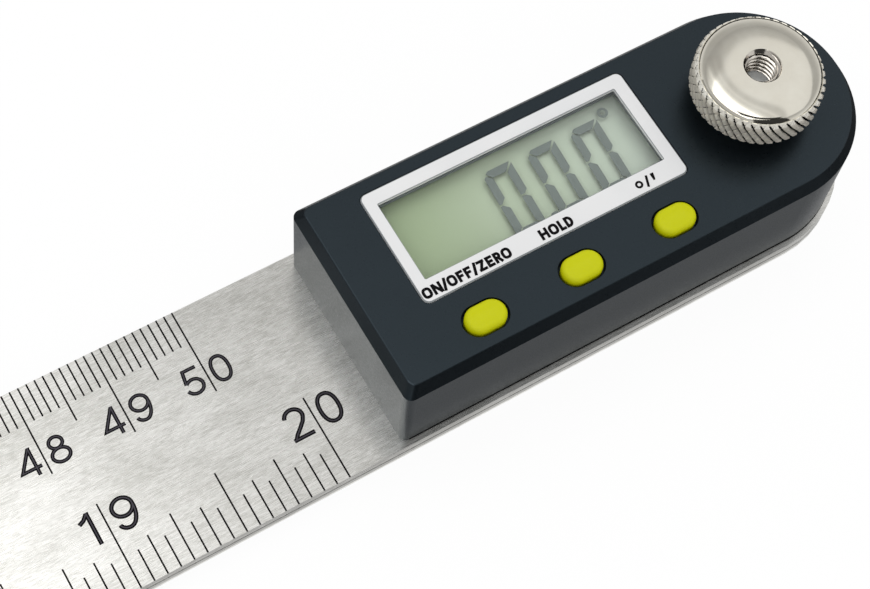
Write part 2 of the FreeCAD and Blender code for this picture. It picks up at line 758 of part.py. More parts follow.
def make_pivot():
    body = new_body("pivot_stud")
    profile = new_sketch(body, "stud_profile", role="XZ_Plane")
    draw_profile(profile, [("0", "0"), ("stud_head_radius", "0"), ("stud_head_radius", "blade_thick"),
                           ("stud_radius", "blade_thick"), ("stud_radius", "clip_base - running_gap"),
                           ("groove_radius", "clip_base - running_gap"),
                           ("groove_radius", "clip_base + clip_thick + running_gap"),
                           ("stud_radius", "clip_base + clip_thick + running_gap"),
                           ("stud_radius", "shoulder"), ("thread_radius", "shoulder"),
                           ("thread_radius", "shoulder + thread_long"), ("0", "shoulder + thread_long")])
    turned(body, profile)
    for side, sign in (("left", ""), ("right", "0 - ")):
        flat = new_sketch(body, "stud_flat_" + side, y=f"{sign}(stud_flat + overrun)", z="hub_base")
        draw_rectangle(flat, "4 * stud_radius", "2 * overrun")
        pocket(body, flat, "rotor_top - hub_base")

    keep(ring("thin_washer", "washer_radius", "bushing_bore", "washer_thick",
              z="upper_base - washer_thick"), "blade_washer")

    body = place(new_body("pivot_bushing"), z="upper_base")
    profile = new_sketch(body, "bushing_profile", role="XZ_Plane")
    draw_profile(profile, [("bushing_bore", "0"), ("bushing_radius", "0"),
                           ("bushing_radius", "blade_thick"),
                           ("bushing_radius + bushing_flange", "blade_thick"),
                           ("bushing_radius + bushing_flange", "blade_thick + bushing_flange_thick"),
                           ("bushing_bore", "blade_thick + bushing_flange_thick")])
    turned(body, profile)

    body = place(new_body("roof_bushing"), z="roof_base - bushing_flange_thick")
    profile = new_sketch(body, "roof_bushing_profile", role="XZ_Plane")
    draw_profile(profile, [("bushing_bore", "0"), ("bushing_radius + bushing_flange", "0"),
                           ("bushing_radius + bushing_flange", "bushing_flange_thick"),
                           ("bushing_radius", "bushing_flange_thick"),
                           ("bushing_radius", "bushing_flange_thick + roof_thick"),
                           ("bushing_bore", "bushing_flange_thick + roof_thick")])
    turned(body, profile)

    keep(ring("spring", "bushing_bore + spring_wide", "bushing_bore", "spring_thick",
              z="flange_top"), "spring_washer")

    clip = ring("clip_ring", "groove_radius + clip_wide", "groove_radius + running_gap",
                "clip_thick", z="clip_base")
    mouth = box("clip_mouth_block", "groove_radius + clip_wide + overrun", "clip_mouth",
                "clip_thick + 2 * overrun", "(groove_radius + clip_wide + overrun) / 2", "0",
                "clip_base - overrun")
    keep(cut("clip", clip, mouth), "retaining_clip")

    disc = rod("hub_disc", "spigot_radius + hub_step", "rotor_base - hub_base - seat_gap", z="hub_base")
    spigot = rod("hub_spigot", "spigot_radius", "rotor_top - hub_base", z="hub_base")
    bore = rod("hub_bore", "bushing_bore", "rotor_top - hub_base + 2 * overrun", z="hub_base - overrun")
    flats = box("hub_flats", "4 * stud_radius", "2 * stud_flat + 2 * running_gap",
                "rotor_top - hub_base + 2 * overrun", z="hub_base - overrun")
    key = doc.addObject("Part::Common", "hub_key")
    key.Base = bore
    key.Tool = flats
    keep(cut("hub", joined("hub_blank", disc, spigot), key), "rotor_hub")

    keep(ring("rotor", "rotor_radius", "spigot_radius + running_gap", "rotor_thick",
              z="rotor_base"), "angle_rotor")


def make_knob():
    keep(ring("thrust", "thrust_radius", "knob_bore + running_gap", "thrust_thick",
              z="thrust_base"), "thrust_washer")
    body = place(new_body("lock_knob"), z="knob_base")
    profile = new_sketch(body, "knob_profile", role="XZ_Plane")
    rim = "knob_neck_high + knob_band_high + knob_rim_high"
    corners = [("knob_bore", "0"), ("knob_neck_radius", "0"), ("knob_neck_radius", "knob_neck_high"),
               ("knob_radius - knob_foot_bevel", "knob_neck_high"),
               ("knob_radius", "knob_neck_high + knob_foot_bevel"),
               ("knob_radius", "knob_neck_high + knob_band_high"),
               ("knob_radius - knob_rim_wide", rim),
               ("knob_bore + knob_sink_wide", rim + " + knob_dome_high"),
               ("knob_bore", rim + " + knob_dome_high - knob_sink")]
    draw_profile(profile, corners, dome=6)
    turned(body, profile)


# Housing screws, battery, contacts and battery cover

def make_housing_screws():
    screws = []
    for corner, (x, y) in SCREW_CORNERS.items():
        head = doc.addObject("Part::Cone", "screw_head_" + corner)
        head.setExpression("Radius1", linked("screw_head_radius"))
        head.setExpression("Radius2", linked("screw_radius"))
        head.setExpression("Height", linked("screw_head_high"))
        place(head, x, y, "upper_base")
        shank = rod("screw_shank_" + corner, "screw_radius", "screw_long", x, y, "upper_base")
        screws.append(joined("screw_" + corner, head, shank))
    keep(group("screws", *screws), "housing_screws")


def make_battery():
    body = place(new_body("battery_holder"), "0 - bay_offset", z="upper_top")
    block = new_sketch(body, "holder_outline")
    draw_rectangle(block, "holder_long", "holder_wide")
    pad(body, block, "holder_top - upper_top")
    well = new_sketch(body, "coin_well")
    draw_circle(well, "pocket_radius")
    pocket(body, well, "pocket_top - upper_top")
    sweep = new_sketch(body, "lug_sweep")
    draw_circle(sweep, "lug_corner + lug_gap")
    pocket(body, sweep, "lug_top - upper_top + lug_gap")
    slots = {"leaf": ("0", "tab_shift", "tab_wide", "contact_thick"),
             "side": ("pocket_radius", "0", "4 * contact_thick", "clamp_wide")}
    for label, (x, y, long, wide) in slots.items():
        slot = new_sketch(body, label + "_tab_slot", x=x, y=y)
        draw_rectangle(slot, long + " + 2 * lug_gap", wide + " + 2 * lug_gap")
        pocket(body, slot, "holder_top - upper_top + overrun")
    for end, x_sign in (("near", ""), ("far", "0 - ")):
        for side, y_sign in (("left", ""), ("right", "0 - ")):
            post = new_sketch(body, f"post_{end}_{side}", x=f"{x_sign}(holder_long / 2 - post_inset)",
                              y=f"{y_sign}post_shift", z="pocket_top - upper_top")
            draw_circle(post, "post_radius")
            pad(body, post, "board_base - seat_gap - pocket_top")

    keep(rod("coin", "coin_radius", "coin_thick", "0 - bay_offset", "0", "coin_base"), "coin_cell")

    leaf = rod("leaf", "contact_radius", "contact_thick", "0 - bay_offset", "0", "coin_top + seat_gap")
    arm = box("leaf_arm", "tab_wide", "tab_shift", "contact_thick",
              "0 - bay_offset", "tab_shift / 2", "coin_top + seat_gap")
    tab = box("leaf_tab", "tab_wide", "contact_thick", "board_base - coin_top - 2 * seat_gap",
              "0 - bay_offset", "tab_shift", "coin_top + seat_gap")
    keep(joined("leaf_contact", leaf, arm, tab), "negative_contact")
    keep(box("side_contact", "contact_thick", "clamp_wide", "board_base - seat_gap - lug_top - lug_gap",
             "0 - bay_offset + coin_radius + seat_gap + contact_thick / 2", "0",
             "lug_top + lug_gap"), "positive_contact")


def make_cover():
    body = place(new_body("battery_cover"), "0 - bay_offset", z="upper_base")
    disc = new_sketch(body, "cover_disc")
    draw_circle(disc, "cover_radius")
    pad(body, disc, "lug_top - upper_base")
    lugs = new_sketch(body, "cover_lugs", z="lug_base - upper_base")
    draw_rectangle(lugs, "2 * lug_end", "lug_wide")
    pad(body, lugs, "lug_thick")
    dish = new_sketch(body, "cover_dish", z="blade_thick")
    draw_circle(dish, "cover_radius - cover_wall")
    pocket(body, dish, "lug_top - upper_base - blade_thick + overrun")
    slot = new_sketch(body, "coin_slot")
    draw_stadium(slot, "slot_long", "slot_wide")
    pocket(body, slot, "slot_deep")
    groove = new_sketch(body, "seal_groove", role="XZ_Plane", x="cover_radius + seal_proud - seal_radius",
                        y="blade_thick / 2")
    draw_circle(groove, "seal_radius")
    cutter = body.newObject("PartDesign::Groove", "seal_groove_cut")
    cutter.Profile = groove
    cutter.ReferenceAxis = (origin_part(body, "Z_Axis"), [""])
    cutter.Angle = 360
    doc.recompute()
    seal = doc.addObject("Part::Torus", "seal")
    seal.setExpression("Radius1", linked("cover_radius + seal_proud - seal_radius"))
    seal.setExpression("Radius2", linked("seal_radius - running_gap"))
    keep(place(seal, "0 - bay_offset", "0", "upper_base + blade_thick / 2"), "cover_seal")


def check_and_write():
    doc.recompute()
    for thing in doc.Objects:
        if "Invalid" in thing.State or "Error" in thing.State:
            raise RuntimeError(f"{thing.Name} failed: {thing.State}")
    os.makedirs("parts", exist_ok=True)
    for thing in parts:
        shape = thing.Shape
        if shape.isNull() or not shape.isValid() or not shape.Solids:
            raise RuntimeError(f"{thing.Label} has no valid solid")
    for thing in parts:
        thing.Shape.exportStep(f"parts/{thing.Label}.step")
        bounds = thing.Shape.BoundBox
        print(f"{thing.Label:18s} solids {len(thing.Shape.Solids)} volume {thing.Shape.Volume:10.2f}"
              f"  z {bounds.ZMin:6.2f} to {bounds.ZMax:6.2f}")


make_lower_blade()
make_upper_blade()
make_housing()
make_display()
make_board()
make_buttons()
make_pivot()
make_knob()
make_housing_screws()
make_battery()
make_cover()
check_and_write()
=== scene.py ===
import math
import bpy
from mathutils import Euler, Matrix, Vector


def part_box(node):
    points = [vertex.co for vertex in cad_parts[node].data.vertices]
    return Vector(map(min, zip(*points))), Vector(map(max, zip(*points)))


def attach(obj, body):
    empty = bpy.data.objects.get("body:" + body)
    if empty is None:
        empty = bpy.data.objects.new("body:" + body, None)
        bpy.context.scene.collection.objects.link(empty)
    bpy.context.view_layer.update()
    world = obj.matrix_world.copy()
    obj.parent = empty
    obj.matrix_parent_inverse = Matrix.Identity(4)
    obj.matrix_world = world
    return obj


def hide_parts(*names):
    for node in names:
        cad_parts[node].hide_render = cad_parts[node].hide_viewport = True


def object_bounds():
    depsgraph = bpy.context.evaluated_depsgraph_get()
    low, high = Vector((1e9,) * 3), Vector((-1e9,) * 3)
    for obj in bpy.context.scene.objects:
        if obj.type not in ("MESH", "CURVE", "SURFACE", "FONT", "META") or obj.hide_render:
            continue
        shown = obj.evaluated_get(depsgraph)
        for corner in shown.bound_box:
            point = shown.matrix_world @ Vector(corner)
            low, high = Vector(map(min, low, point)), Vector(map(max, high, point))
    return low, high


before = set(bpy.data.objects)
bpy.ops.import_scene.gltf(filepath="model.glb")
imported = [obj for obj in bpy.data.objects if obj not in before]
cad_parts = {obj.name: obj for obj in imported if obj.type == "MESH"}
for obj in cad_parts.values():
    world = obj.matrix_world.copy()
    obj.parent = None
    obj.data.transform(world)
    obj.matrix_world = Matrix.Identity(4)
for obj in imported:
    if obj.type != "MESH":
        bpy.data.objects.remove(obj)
CAD_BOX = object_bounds()
MM = 0.001

# Where the frame puts things, as lowest and highest corners in metres
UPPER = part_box("upper_blade")
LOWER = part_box("lower_blade")
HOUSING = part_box("housing_shell")
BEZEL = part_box("display_bezel")
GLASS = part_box("display_glass")
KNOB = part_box("lock_knob")

# Camera, from the engraved scales in the photograph
CAMERA_PLACE = Vector((-98.08, -71.92, 197.75)) * MM
CAMERA_TURN = (25.278, -3.758, -30.573)
CAMERA_LENS = 77.806
CAMERA_SENSOR = 36.0
CAMERA_CLIP = 0.005

# Scales: where each kind of mark ends, across the ruler, in millimetres from its middle line
MARK_WIDE = 0.19
MARK_HIGH = 0.02
GROOVE_HIGH = 1.5 * MARK_HIGH
METRIC_ENDS = {10: 2.6, 5: 6.92, 1: 9.15}
METRIC_COUNT = 500
CENTIMETRE = 10
INCH_ENDS = {16: 2.8, 8: 5.87, 4: 7.6, 2: 8.6, 1: 9.55}
INCH_COUNT = 320
INCH = 25.4
INCH_PARTS = 16
METRIC_DIGIT = {"high": 3.5, "base": 3.12, "left": -3.05, "right": 0.50}
INCH_DIGIT = {"high": 4.02, "base": -7.15, "left": -3.44, "right": 0.65}
DIGIT_STROKE_SHARE = 0.124
GROOVE_SHARE = 0.3


# Mesh building

def new_mesh(name, points, faces, smooth=False):
    """A mesh object in the scene, from points in metres."""
    mesh = bpy.data.meshes.new(name)
    mesh.from_pydata(points, [], faces)
    mesh.validate()
    mesh.update()
    if smooth:
        mesh.shade_smooth()
    piece = bpy.data.objects.new(name, mesh)
    bpy.context.scene.collection.objects.link(piece)
    return piece


def finish_piece(piece, body, slot, material, *nodes):
    """A piece's first material, the body that it rides and the nodes that it stands for. The slot argument
    is not used.
    """
    piece.data.materials.clear()
    piece.data.materials.append(material)
    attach(piece, body)
    if nodes:
        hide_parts(*nodes)


def add_looks(piece, looks, *materials):
    """More materials for a piece, and the number of the one that each face has."""
    for material in materials:
        piece.data.materials.append(material)
    piece.data.polygons.foreach_set("material_index", looks)


MITRE_SHARE = 0.45


class Plates:
    """Thin plates on one level, gathered into a single mesh. Millimetres in, metres out."""

    def __init__(self, base, top):
        self.base = base
        self.top = top
        self.lift = 0.0
        self.points = []
        self.faces = []

    def polygon(self, outline):
        """A convex or simple outline, counter-clockwise."""
        first = len(self.points)
        count = len(outline)
        self.points += [(x * MM, y * MM, self.base) for x, y in outline]
        self.points += [(x * MM, y * MM, self.top + self.lift) for x, y in outline]
        self.faces.append([first + i for i in reversed(range(count))])
        self.faces.append([first + count + i for i in range(count)])
        for i in range(count):
            j = (i + 1) % count
            self.faces.append([first + i, first + j, first + count + j, first + count + i])

    def bar(self, x0, y0, x1, y1):
        self.polygon([(x0, y0), (x1, y0), (x1, y1), (x0, y1)])

    def ribbon(self, path, wide, closed=False):
        """A stroke of even width along a path, with mitred corners."""
        count = len(path)
        first = len(self.points)
        sides = []
        for i, (x, y) in enumerate(path):
            before = path[i - 1] if closed or i else path[i]
            after = path[(i + 1) % count] if closed or i < count - 1 else path[i]
            ax, ay = x - before[0], y - before[1]
            bx, by = after[0] - x, after[1] - y
            a_long = math.hypot(ax, ay)
            b_long = math.hypot(bx, by)
            if a_long == 0:
                ax, ay, a_long = bx, by, b_long
            if b_long == 0:
                bx, by, b_long = ax, ay, a_long
            ax, ay, bx, by = ax / a_long, ay / a_long, bx / b_long, by / b_long
            mx, my = -(ay + by), ax + bx
            m_long = math.hypot(mx, my)
            mx, my = mx / m_long, my / m_long
            spread = wide / 2 / max(mx * -ay + my * ax, MITRE_SHARE)
            sides.append(((x + mx * spread, y + my * spread), (x - mx * spread, y - my * spread)))
        for left, right in sides:
            for z in (self.base, self.top + self.lift):
                self.points.append((left[0] * MM, left[1] * MM, z))
                self.points.append((right[0] * MM, right[1] * MM, z))
        last = count if closed else count - 1
        for i in range(last):
            a = first + 4 * i
            b = first + 4 * ((i + 1) % count)
            self.faces.append([a + 2, a + 3, b + 3, b + 2])
            self.faces.append([a, b, b + 1, a + 1])
            self.faces.append([a, a + 2, b + 2, b])
            self.faces.append([a + 1, b + 1, b + 3, a + 3])
        if not closed:
            a = first
            b = first + 4 * (count - 1)
            self.faces.append([a, a + 1, a + 3, a + 2])
            self.faces.append([b, b + 2, b + 3, b + 1])

    def build(self, name):
        return new_mesh(name, self.points, self.faces)


# Strokes of the digits and letters, in a box one high

LETTER_STROKE_SHARE = 0.248
STROKE_STEP = 0.002 * MM


def arc(x, y, wide, high, start, end, steps=14):
    """Points of an ellipse's arc, from one angle to another in degrees."""
    angles = [math.radians(start + (end - start) * i / steps) for i in range(steps + 1)]
    return [(x + wide * math.cos(a), y + high * math.sin(a)) for a in angles]


def loop(x, y, wide, high, power=2.0, steps=36):
    """A closed oval; a power over 2 makes its sides straighter."""
    points = []
    for i in range(steps):
        angle = math.tau * i / steps
        c, s = math.cos(angle), math.sin(angle)
        points.append((x + wide * math.copysign(abs(c) ** (2 / power), c),
                       y + high * math.copysign(abs(s) ** (2 / power), s)))
    return points


def open_path(*points):
    """A stroke with two ends, as a (path, closed) pair."""
    return list(points), False


def digit_strokes():
    """Centre lines of the engraved digits: for each a list of (path, closed)."""
    low = DIGIT_STROKE_SHARE / 2
    top = 1 - low
    nine = [(loop(0.392, 0.672, 0.286, top - 0.672), True),
            (arc(0.372, 0.60, 0.307, 0.60 - low, 8, -90)
             + arc(0.372, 0.27, 0.25, 0.27 - low, -90, -170)[1:], False)]
    wide = 0.765
    six = [([(wide - x, 1 - y) for x, y in path], closed) for path, closed in nine]
    return {
        "0": [(loop(0.347, 0.5, 0.272, 0.5 - low, 2.3), True)],
        "1": [open_path((0.49, 0.0), (0.49, 1.0)), open_path((0.19, 0.75), (0.35, 0.825), (0.48, 0.965))],
        "2": [open_path(*arc(0.345, 0.70, 0.262, top - 0.70, 170, -22),
                        (0.52, 0.49), (0.36, 0.335), (0.20, 0.19), (0.10, low)),
              open_path((0.035, low), (0.675, low))],
        "3": [open_path(*arc(0.36, 0.735, 0.235, top - 0.735, 160, -80)),
              open_path(*arc(0.355, 0.29, 0.29, 0.29 - low, 85, -165))],
        "4": [open_path((0.545, 0.96), (0.075, 0.265), (0.726, 0.265)),
              open_path((0.547, 0.0), (0.547, 1.0))],
        "5": [open_path((0.66, top), (0.205, top), (0.127, 0.475)),
              open_path(*arc(0.36, 0.32, 0.284, 0.32 - low, 142, -166))],
        "6": six,
        "7": [open_path((0.04, top), (0.66, top), (0.44, 0.62), (0.31, 0.30), (0.26, 0.0))],
        "8": [(loop(0.382, 0.74, 0.219, top - 0.74), True),
              (loop(0.382, 0.296, 0.291, 0.296 - low), True)],
        "9": nine,
    }


def letter_strokes():
    """Centre lines of the bold capitals: for each its advance and a list of (path, closed)."""
    low = LETTER_STROKE_SHARE / 2
    top = 1 - low
    left = low
    waist = 0.68
    stem = open_path((left, 0), (left, 1))
    bowl = arc(0.33, waist, 0.17, top - waist, 90, -90, 10)
    belly = arc(0.28, 0.5, 0.30, top - 0.5, 90, -90, 16)
    return {
        "O": (0.93, [(loop(0.41, 0.5, 0.30, 0.5 - low, 2.7), True)]),
        "N": (0.92, [stem, open_path((0.71, 0), (0.71, 1)), open_path((0.13, 0.97), (0.69, 0.03))]),
        "F": (0.72, [stem, open_path((left, top), (0.62, top)), open_path((left, 0.5), (0.55, 0.5))]),
        "Z": (0.85, [open_path((0.03, top), (0.72, top)), open_path((0.02, low), (0.75, low)),
                     open_path((0.15, 0.1), (0.61, 0.9))]),
        "E": (0.73, [stem, open_path((left, top), (0.62, top)), open_path((left, 0.5), (0.57, 0.5)),
                     open_path((left, low), (0.63, low))]),
        "R": (0.73, [stem, open_path((left, top), *bowl, (left, 2 * waist - top)),
                     open_path((0.34, 0.5), (0.58, 0))]),
        "H": (0.90, [stem, open_path((0.66, 0), (0.66, 1)), open_path((left, 0.5), (0.66, 0.5))]),
        "L": (0.62, [stem, open_path((left, low), (0.55, low))]),
        "D": (0.85, [([(left, top)] + belly + [(left, low)], True)]),
        "/": (0.48, [open_path((0.03, -0.06), (0.38, 1.06))]),
    }


def draw_strokes(plates, strokes, x, y, high, stroke):
    """Each stroke a little higher than the last, so that no two faces lie in one plane."""
    for count, (path, closed) in enumerate(strokes):
        plates.lift = count * STROKE_STEP
        plates.ribbon([(x + px * high, y + py * high) for px, py in path], high * stroke, closed)
    plates.lift = 0.0


# Material building

class Nodes:
    """A new material with one Principled shader and short ways to add and join nodes."""

    def __init__(self, name):
        self.material = bpy.data.materials.new(name)
        self.material.use_nodes = True
        self.tree = self.material.node_tree
        self.shader = self.tree.nodes["Principled BSDF"]
        self.output = self.tree.nodes["Material Output"]

    def add(self, kind, **inputs):
        node = self.tree.nodes.new("ShaderNode" + kind)
        for name, value in inputs.items():
            self.put(node.inputs[name.replace("_", " ")], value)
        return node

    def put(self, socket, value):
        if isinstance(value, bpy.types.NodeSocket):
            self.tree.links.new(value, socket)
        else:
            socket.default_value = value

    def set(self, **inputs):
        for name, value in inputs.items():
            self.put(self.shader.inputs[name.replace("_", " ")], value)

    def place(self, stretch=(1, 1, 1)):
        """Object coordinates, stretched."""
        source = self.add("TexCoord").outputs["Object"]
        return self.add("Mapping", Vector=source, Scale=stretch).outputs["Vector"]

    def noise(self, scale, detail, roughness, stretch=(1, 1, 1)):
        return self.add("TexNoise", Vector=self.place(stretch), Scale=scale, Detail=detail,
                        Roughness=roughness).outputs["Fac"]

    def span(self, value, low, high, start=0.0, end=1.0):
        """Map a value from start..end to low..high."""
        node = self.add("MapRange", Value=value)
        node.inputs["From Min"].default_value = start
        node.inputs["From Max"].default_value = end
        node.inputs["To Min"].default_value = low
        node.inputs["To Max"].default_value = high
        return node.outputs["Result"]

    def blend(self, factor, first, second):
        """Mix two colours."""
        node = self.add("Mix")
        node.data_type = "RGBA"
        self.put(node.inputs[0], factor)
        self.put(node.inputs[6], first)
        self.put(node.inputs[7], second)
        return node.outputs[2]

    def math(self, operation, first, second=0.0):
        node = self.add("Math")
        node.operation = operation
        self.put(node.inputs[0], first)
        self.put(node.inputs[1], second)
        return node.outputs[0]

    def bump(self, height, strength, distance):
        node = self.add("Bump", Height=height, Strength=strength, Distance=distance)
        return node.outputs["Normal"]


def colour(red, green, blue):
    """A displayed colour, 0 to 255, as the shader's linear one."""
    def linear(value):
        value /= 255
        return value / 12.92 if value <= 0.04045 else ((value + 0.055) / 1.055) ** 2.4
    return (linear(red), linear(green), linear(blue), 1.0)


def grey(level):
    """A linear grey."""
    return (level, level, level, 1.0)


def fill_ramp(ramp, stops):
    """Set a colour ramp to stops of place and colour, in rising order."""
    elements = ramp.color_ramp.elements
    for count, (place, tint) in enumerate(stops):
        if count == 0:
            stop = elements[0]
        elif count == len(stops) - 1:
            stop = elements[-1]
        else:
            stop = elements.new(place)
        stop.position = place
        stop.color = tint


def brushed_steel(name, bright, dark):
    """Steel brushed along X: short fine hairs, faint streaks and soft clouds."""
    made = Nodes(name)
    hairs = made.noise(9000, 4, 0.75, (0.11, 1, 1))
    streaks = made.noise(2900, 3, 0.7, (0.09, 1, 1))
    clouds = made.noise(170, 5, 0.66, (0.6, 1, 1))
    fine = made.math("ADD", made.math("MULTIPLY", hairs, 0.56), made.math("MULTIPLY", streaks, 0.12))
    tone = made.math("ADD", fine, made.math("MULTIPLY", clouds, 0.32))
    made.set(Base_Color=made.blend(made.span(tone, 0, 1, 0.4, 0.6), dark, bright), Metallic=1.0,
             Roughness=made.span(streaks, 0.24, 0.31, 0.3, 0.7), Anisotropic=0.4)
    across = made.add("CombineXYZ", Y=1.0)
    turn = made.add("VectorTransform", Vector=across.outputs["Vector"])
    turn.vector_type = "VECTOR"
    turn.convert_from = "OBJECT"
    turn.convert_to = "WORLD"
    made.set(Tangent=turn.outputs["Vector"], Normal=made.bump(hairs, 0.4, 0.000008))
    return made.material


def turned_metal(name, bright, dark, roughness, anisotropic=0.0, metallic=1.0):
    """Plated or turned metal, with soft clouds; a turned one blurs outwards from the Z axis."""
    made = Nodes(name)
    clouds = made.noise(420, 3, 0.6)
    lines = made.noise(5200, 2, 0.5)
    made.set(Base_Color=made.blend(made.span(clouds, 0, 1, 0.3, 0.7), dark, bright), Metallic=metallic,
             Roughness=made.span(clouds, roughness * 0.8, roughness * 1.25, 0.3, 0.7),
             Anisotropic=anisotropic, Normal=made.bump(lines, 0.06, 0.000003))
    if anisotropic:
        tangent = made.add("Tangent")
        tangent.direction_type = "RADIAL"
        tangent.axis = "Z"
        made.set(Tangent=tangent.outputs["Tangent"], Anisotropic_Rotation=0.25)
    return made.material


def moulded(name, base, worn, roughness, grain=2600, depth=0.000006, level=0.5, tint=(1, 1, 1, 1)):
    """Moulded plastic: faint clouds, a fine sparked grain and slightly uneven gloss."""
    made = Nodes(name)
    clouds = made.noise(90, 3, 0.55)
    grains = made.noise(grain, 3, 0.65)
    made.set(Base_Color=made.blend(made.span(clouds, 0, 1, 0.35, 0.75), base, worn),
             Roughness=made.span(grains, roughness * 0.8, roughness * 1.2, 0.3, 0.7),
             Specular_IOR_Level=level, Specular_Tint=tint, Normal=made.bump(grains, 0.35, depth))
    return made.material


def clear_sheet(name, gloss, index):
    """A clear sheet: light passes straight on, and its surface reflects by its angle."""
    made = Nodes(name)
    smears = made.noise(120, 3, 0.6)
    through = made.add("BsdfTransparent", Color=(0.992, 1, 0.994, 1))
    shine = made.add("BsdfGlossy", Roughness=made.span(smears, gloss, gloss * 2.2))
    straight = ((index - 1) / (index + 1)) ** 2
    slant = made.math("POWER", made.add("LayerWeight", Blend=0.5).outputs["Facing"], 5.0)
    mix = made.add("MixShader", Fac=made.span(slant, straight, 1.0))
    made.put(mix.inputs[1], through.outputs[0])
    made.put(mix.inputs[2], shine.outputs[0])
    made.put(made.output.inputs["Surface"], mix.outputs[0])
    made.tree.nodes.remove(made.shader)
    return made.material


def liquid_crystal(name):
    """The reflector seen through the display: greener at its left end, greyer at its right."""
    made = Nodes(name)
    across = made.add("SeparateXYZ", Vector=made.place()).outputs["X"]
    clouds = made.noise(85, 2, 0.5)
    shift = made.math("ADD", made.span(across, 0, 1, GLASS[0].x, GLASS[1].x),
                      made.span(clouds, -0.1, 0.1))
    ramp = made.add("ValToRGB", Fac=shift)
    fill_ramp(ramp, [(0.05, colour(162, 179, 136)), (0.45, colour(195, 206, 182)),
                     (0.95, colour(210, 218, 207))])
    grains = made.noise(7000, 2, 0.6)
    made.set(Base_Color=ramp.outputs["Color"], Roughness=0.55, Normal=made.bump(grains, 0.1, 0.000004))
    return made.material


def board_green(name):
    """Green lacquer, paler over the tracks of a circuit board."""
    made = Nodes(name)
    tracks = made.noise(700, 2, 0.4)
    made.set(Base_Color=made.blend(made.span(tracks, 0, 1, 0.48, 0.56),
                                   colour(18, 70, 38), colour(34, 104, 58)),
             Roughness=0.35, Normal=made.bump(tracks, 0.3, 0.00002))
    return made.material


STEEL = brushed_steel("ruler steel", colour(247, 246, 242), colour(200, 199, 193))
# A darker copy of the ruler steel: painted shade on the lower blade
LOWER_SHADED_STEEL = brushed_steel("lower ruler steel, painted shade", colour(238, 237, 232), colour(198, 197, 192))
# The housing's own near-black plastic, also used on the button flanges as painted shade
HOUSING_AND_SHADE_BLACK = moulded("housing plastic and painted shade", colour(5, 8, 11), colour(9, 13, 17), 0.33, 4600, 0.000008, 0.7,
                        (0.66, 0.86, 1.0, 1))
BEZEL_WHITE = moulded("window print", colour(222, 222, 222), colour(214, 215, 216), 0.35, 1800, 0.000002)
BEZEL_EDGE = moulded("window print edge", colour(140, 145, 147), colour(130, 135, 138), 0.4, 1800, 0.000002)
LENS = clear_sheet("window lens", 0.04, 1.49)
# Black of the engraved ticks and digits, also used for the painted contact shadow at the housing's foot
INK_AND_SHADOW_BLACK = moulded("engraved black and painted shadow", colour(6, 4, 7), colour(12, 10, 13), 0.8, 5200, 0.000004, 0.05)
GROOVE_INK = moulded("groove floor", colour(60, 57, 64), colour(72, 69, 76), 0.7, 5200, 0.000004, 0.2)
LABEL_INK = moulded("label black", colour(8, 7, 9), colour(14, 12, 15), 0.8, 4200, 0.000003, 0.1)
NICKEL = turned_metal("plated nickel", colour(243, 239, 226), colour(236, 231, 217), 0.1, 0.6)
KNURL_NICKEL = turned_metal("knurled nickel", colour(235, 230, 218), colour(214, 208, 196), 0.42,
                            metallic=0.6)
THREAD_NICKEL = turned_metal("thread nickel", colour(240, 234, 224), colour(222, 214, 204), 0.14)
# Near-black nickel: painted shade on the floors of the knurl's and the thread's grooves
GROOVE_SHADE_NICKEL = turned_metal("painted groove shade", colour(20, 17, 16), colour(13, 11, 10), 0.5)
# A paler, less metallic copy of the knurled nickel: painted highlight on the knurl's facets at the shoulder
SHOULDER_HIGHLIGHT_NICKEL = turned_metal("painted highlight nickel", colour(250, 247, 238), colour(232, 228, 216), 0.3,
                           metallic=0.35)
# Near white and paler than steel: painted light on the stud's end down the knob's hole
STUD_LIT_WHITE = moulded("stud steel, painted light", colour(250, 252, 250), colour(240, 243, 241), 0.4)
BUTTON_GREEN = moulded("button plastic", colour(192, 195, 0), colour(186, 190, 0), 0.38, 1700,
                       0.000004, 0.16)
SPACER_GREY = moulded("window spacer", colour(118, 124, 128), colour(110, 116, 120), 0.6, 2400, 0.000003)
CELL_GREY = liquid_crystal("display reflector")
SEGMENT = moulded("display segment", colour(110, 119, 116), colour(117, 126, 123), 0.5)
CELL_COVER = clear_sheet("display cover", 0.12, 1.12)

